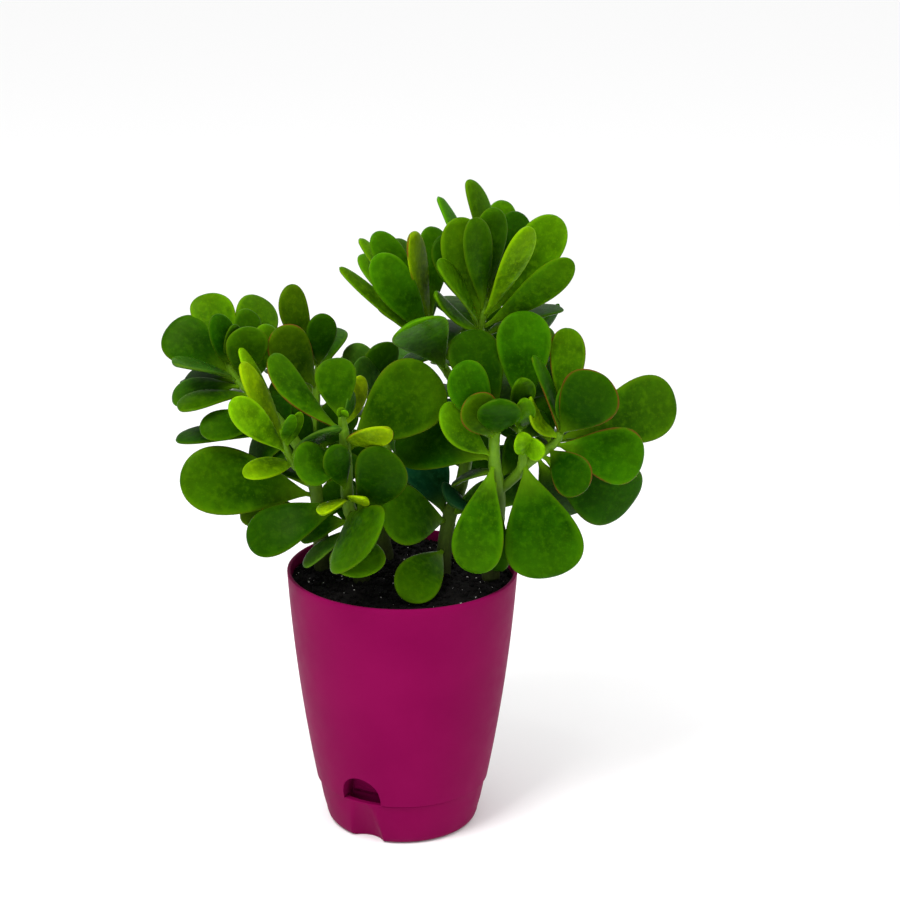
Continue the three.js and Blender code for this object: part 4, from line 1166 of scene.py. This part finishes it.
# %% The leaves
for node in STEMS:
    blades = [blade for shoot in SHOOTS if shoot["node"] == node for blade in shoot["blades"]]
    points, quads, fans = gathered(leaf_skins(blades))
    foliage = mesh_piece(f"{node}_leaves", points, quads, fans, waxy_leaf, leaf_values(blades))
    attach(foliage, "root")
    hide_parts(node)

# %% [markdown]
# ## Floor
#
# The plant stands on a plain pale floor. A curved studio sweep would hide the horizon, but it
# would also end somewhere. One flat plane is enough: it is matt, so that no reflection of the
# pot draws the eye, and so wide that its end is far away.

# %% Floor
FLOOR_SIZE = 60
recipe = Recipe("pale floor")
recipe.set(recipe.shader, Base_Color=(0.9, 0.9, 0.9, 1), Roughness=0.95, Specular_IOR_Level=0.0)
bpy.ops.mesh.primitive_plane_add(size=FLOOR_SIZE, location=(0, 0, 0))
floor = bpy.context.object
floor.name = "floor"
floor.data.materials.append(recipe.material)
print("floor:", FLOOR_SIZE, "m wide")

# %% [markdown]
# ## Light
#
# Soft studio light: a wide lamp above and to the left models the leaves, and a weaker one
# fills from the right. A third one, near the ground, looks into the pot's recess. A bright
# world keeps the shadows pale. It is brighter overhead than at the horizon, as a room with a
# white ceiling is, so that the leaves get darker undersides.

# %% Light
world = bpy.data.worlds.new("soft studio")
world.use_nodes = True
sky = world.node_tree
height = sky.nodes.new("ShaderNodeSeparateXYZ")
ramp = sky.nodes.new("ShaderNodeMapRange")
sky.links.new(sky.nodes.new("ShaderNodeTexCoord").outputs["Generated"], height.inputs[0])
sky.links.new(height.outputs["Z"], ramp.inputs["Value"])
for label, value in {"From Min": 0.05, "From Max": 0.9, "To Min": 0.42, "To Max": 1.3}.items():
    ramp.inputs[label].default_value = value
sky.links.new(ramp.outputs["Result"], sky.nodes["Background"].inputs["Strength"])
sky.nodes["Background"].inputs["Color"].default_value = (1, 1, 1, 1)
bpy.context.scene.world = world
bpy.context.scene.view_settings.view_transform = "Standard"


def lamp(name, place, aim, size, watts):
    """A square area lamp at a place, turned towards a point."""
    data = bpy.data.lights.new(name, "AREA")
    data.size, data.energy = size, watts
    source = bpy.data.objects.new(name, data)
    source.location = place
    source.rotation_euler = (Vector(aim) - Vector(place)).to_track_quat("-Z", "Y").to_euler()
    bpy.context.scene.collection.objects.link(source)


lamp("key", (-0.45, -0.6, 1.2), aim=(0, 0, 0.2), size=0.5, watts=13)
lamp("fill", (0.9, -0.7, 0.6), aim=(0, 0, 0.2), size=0.8, watts=4)
lamp("low", (-0.35, -0.6, 0.1), aim=(-0.02, -0.03, 0.03), size=0.25, watts=0.7)

# %% [markdown]
# ## Camera
#
# The plant is seen from a little above, through a long lens that keeps the pot's sides from
# leaning. The pot stands left of the middle. Turning the camera would do that too, but it would
# change the view of the pot, and a lens shift only moves the picture.

# %% Camera
LENS, SHIFT, VIEW_END = 92.6, 0.053, 20
camera = bpy.data.objects.new("camera", bpy.data.cameras.new("camera"))
camera.location = EYE * MM
camera.rotation_euler = (math.pi / 2 - LOOK_DOWN, 0, 0)
camera.data.lens = LENS
camera.data.shift_x = SHIFT
camera.data.clip_end = VIEW_END
bpy.context.scene.collection.objects.link(camera)
bpy.context.scene.camera = camera
print("camera at", EYE * MM, "looking down", round(math.degrees(LOOK_DOWN), 1), "degrees")

# %% [markdown]
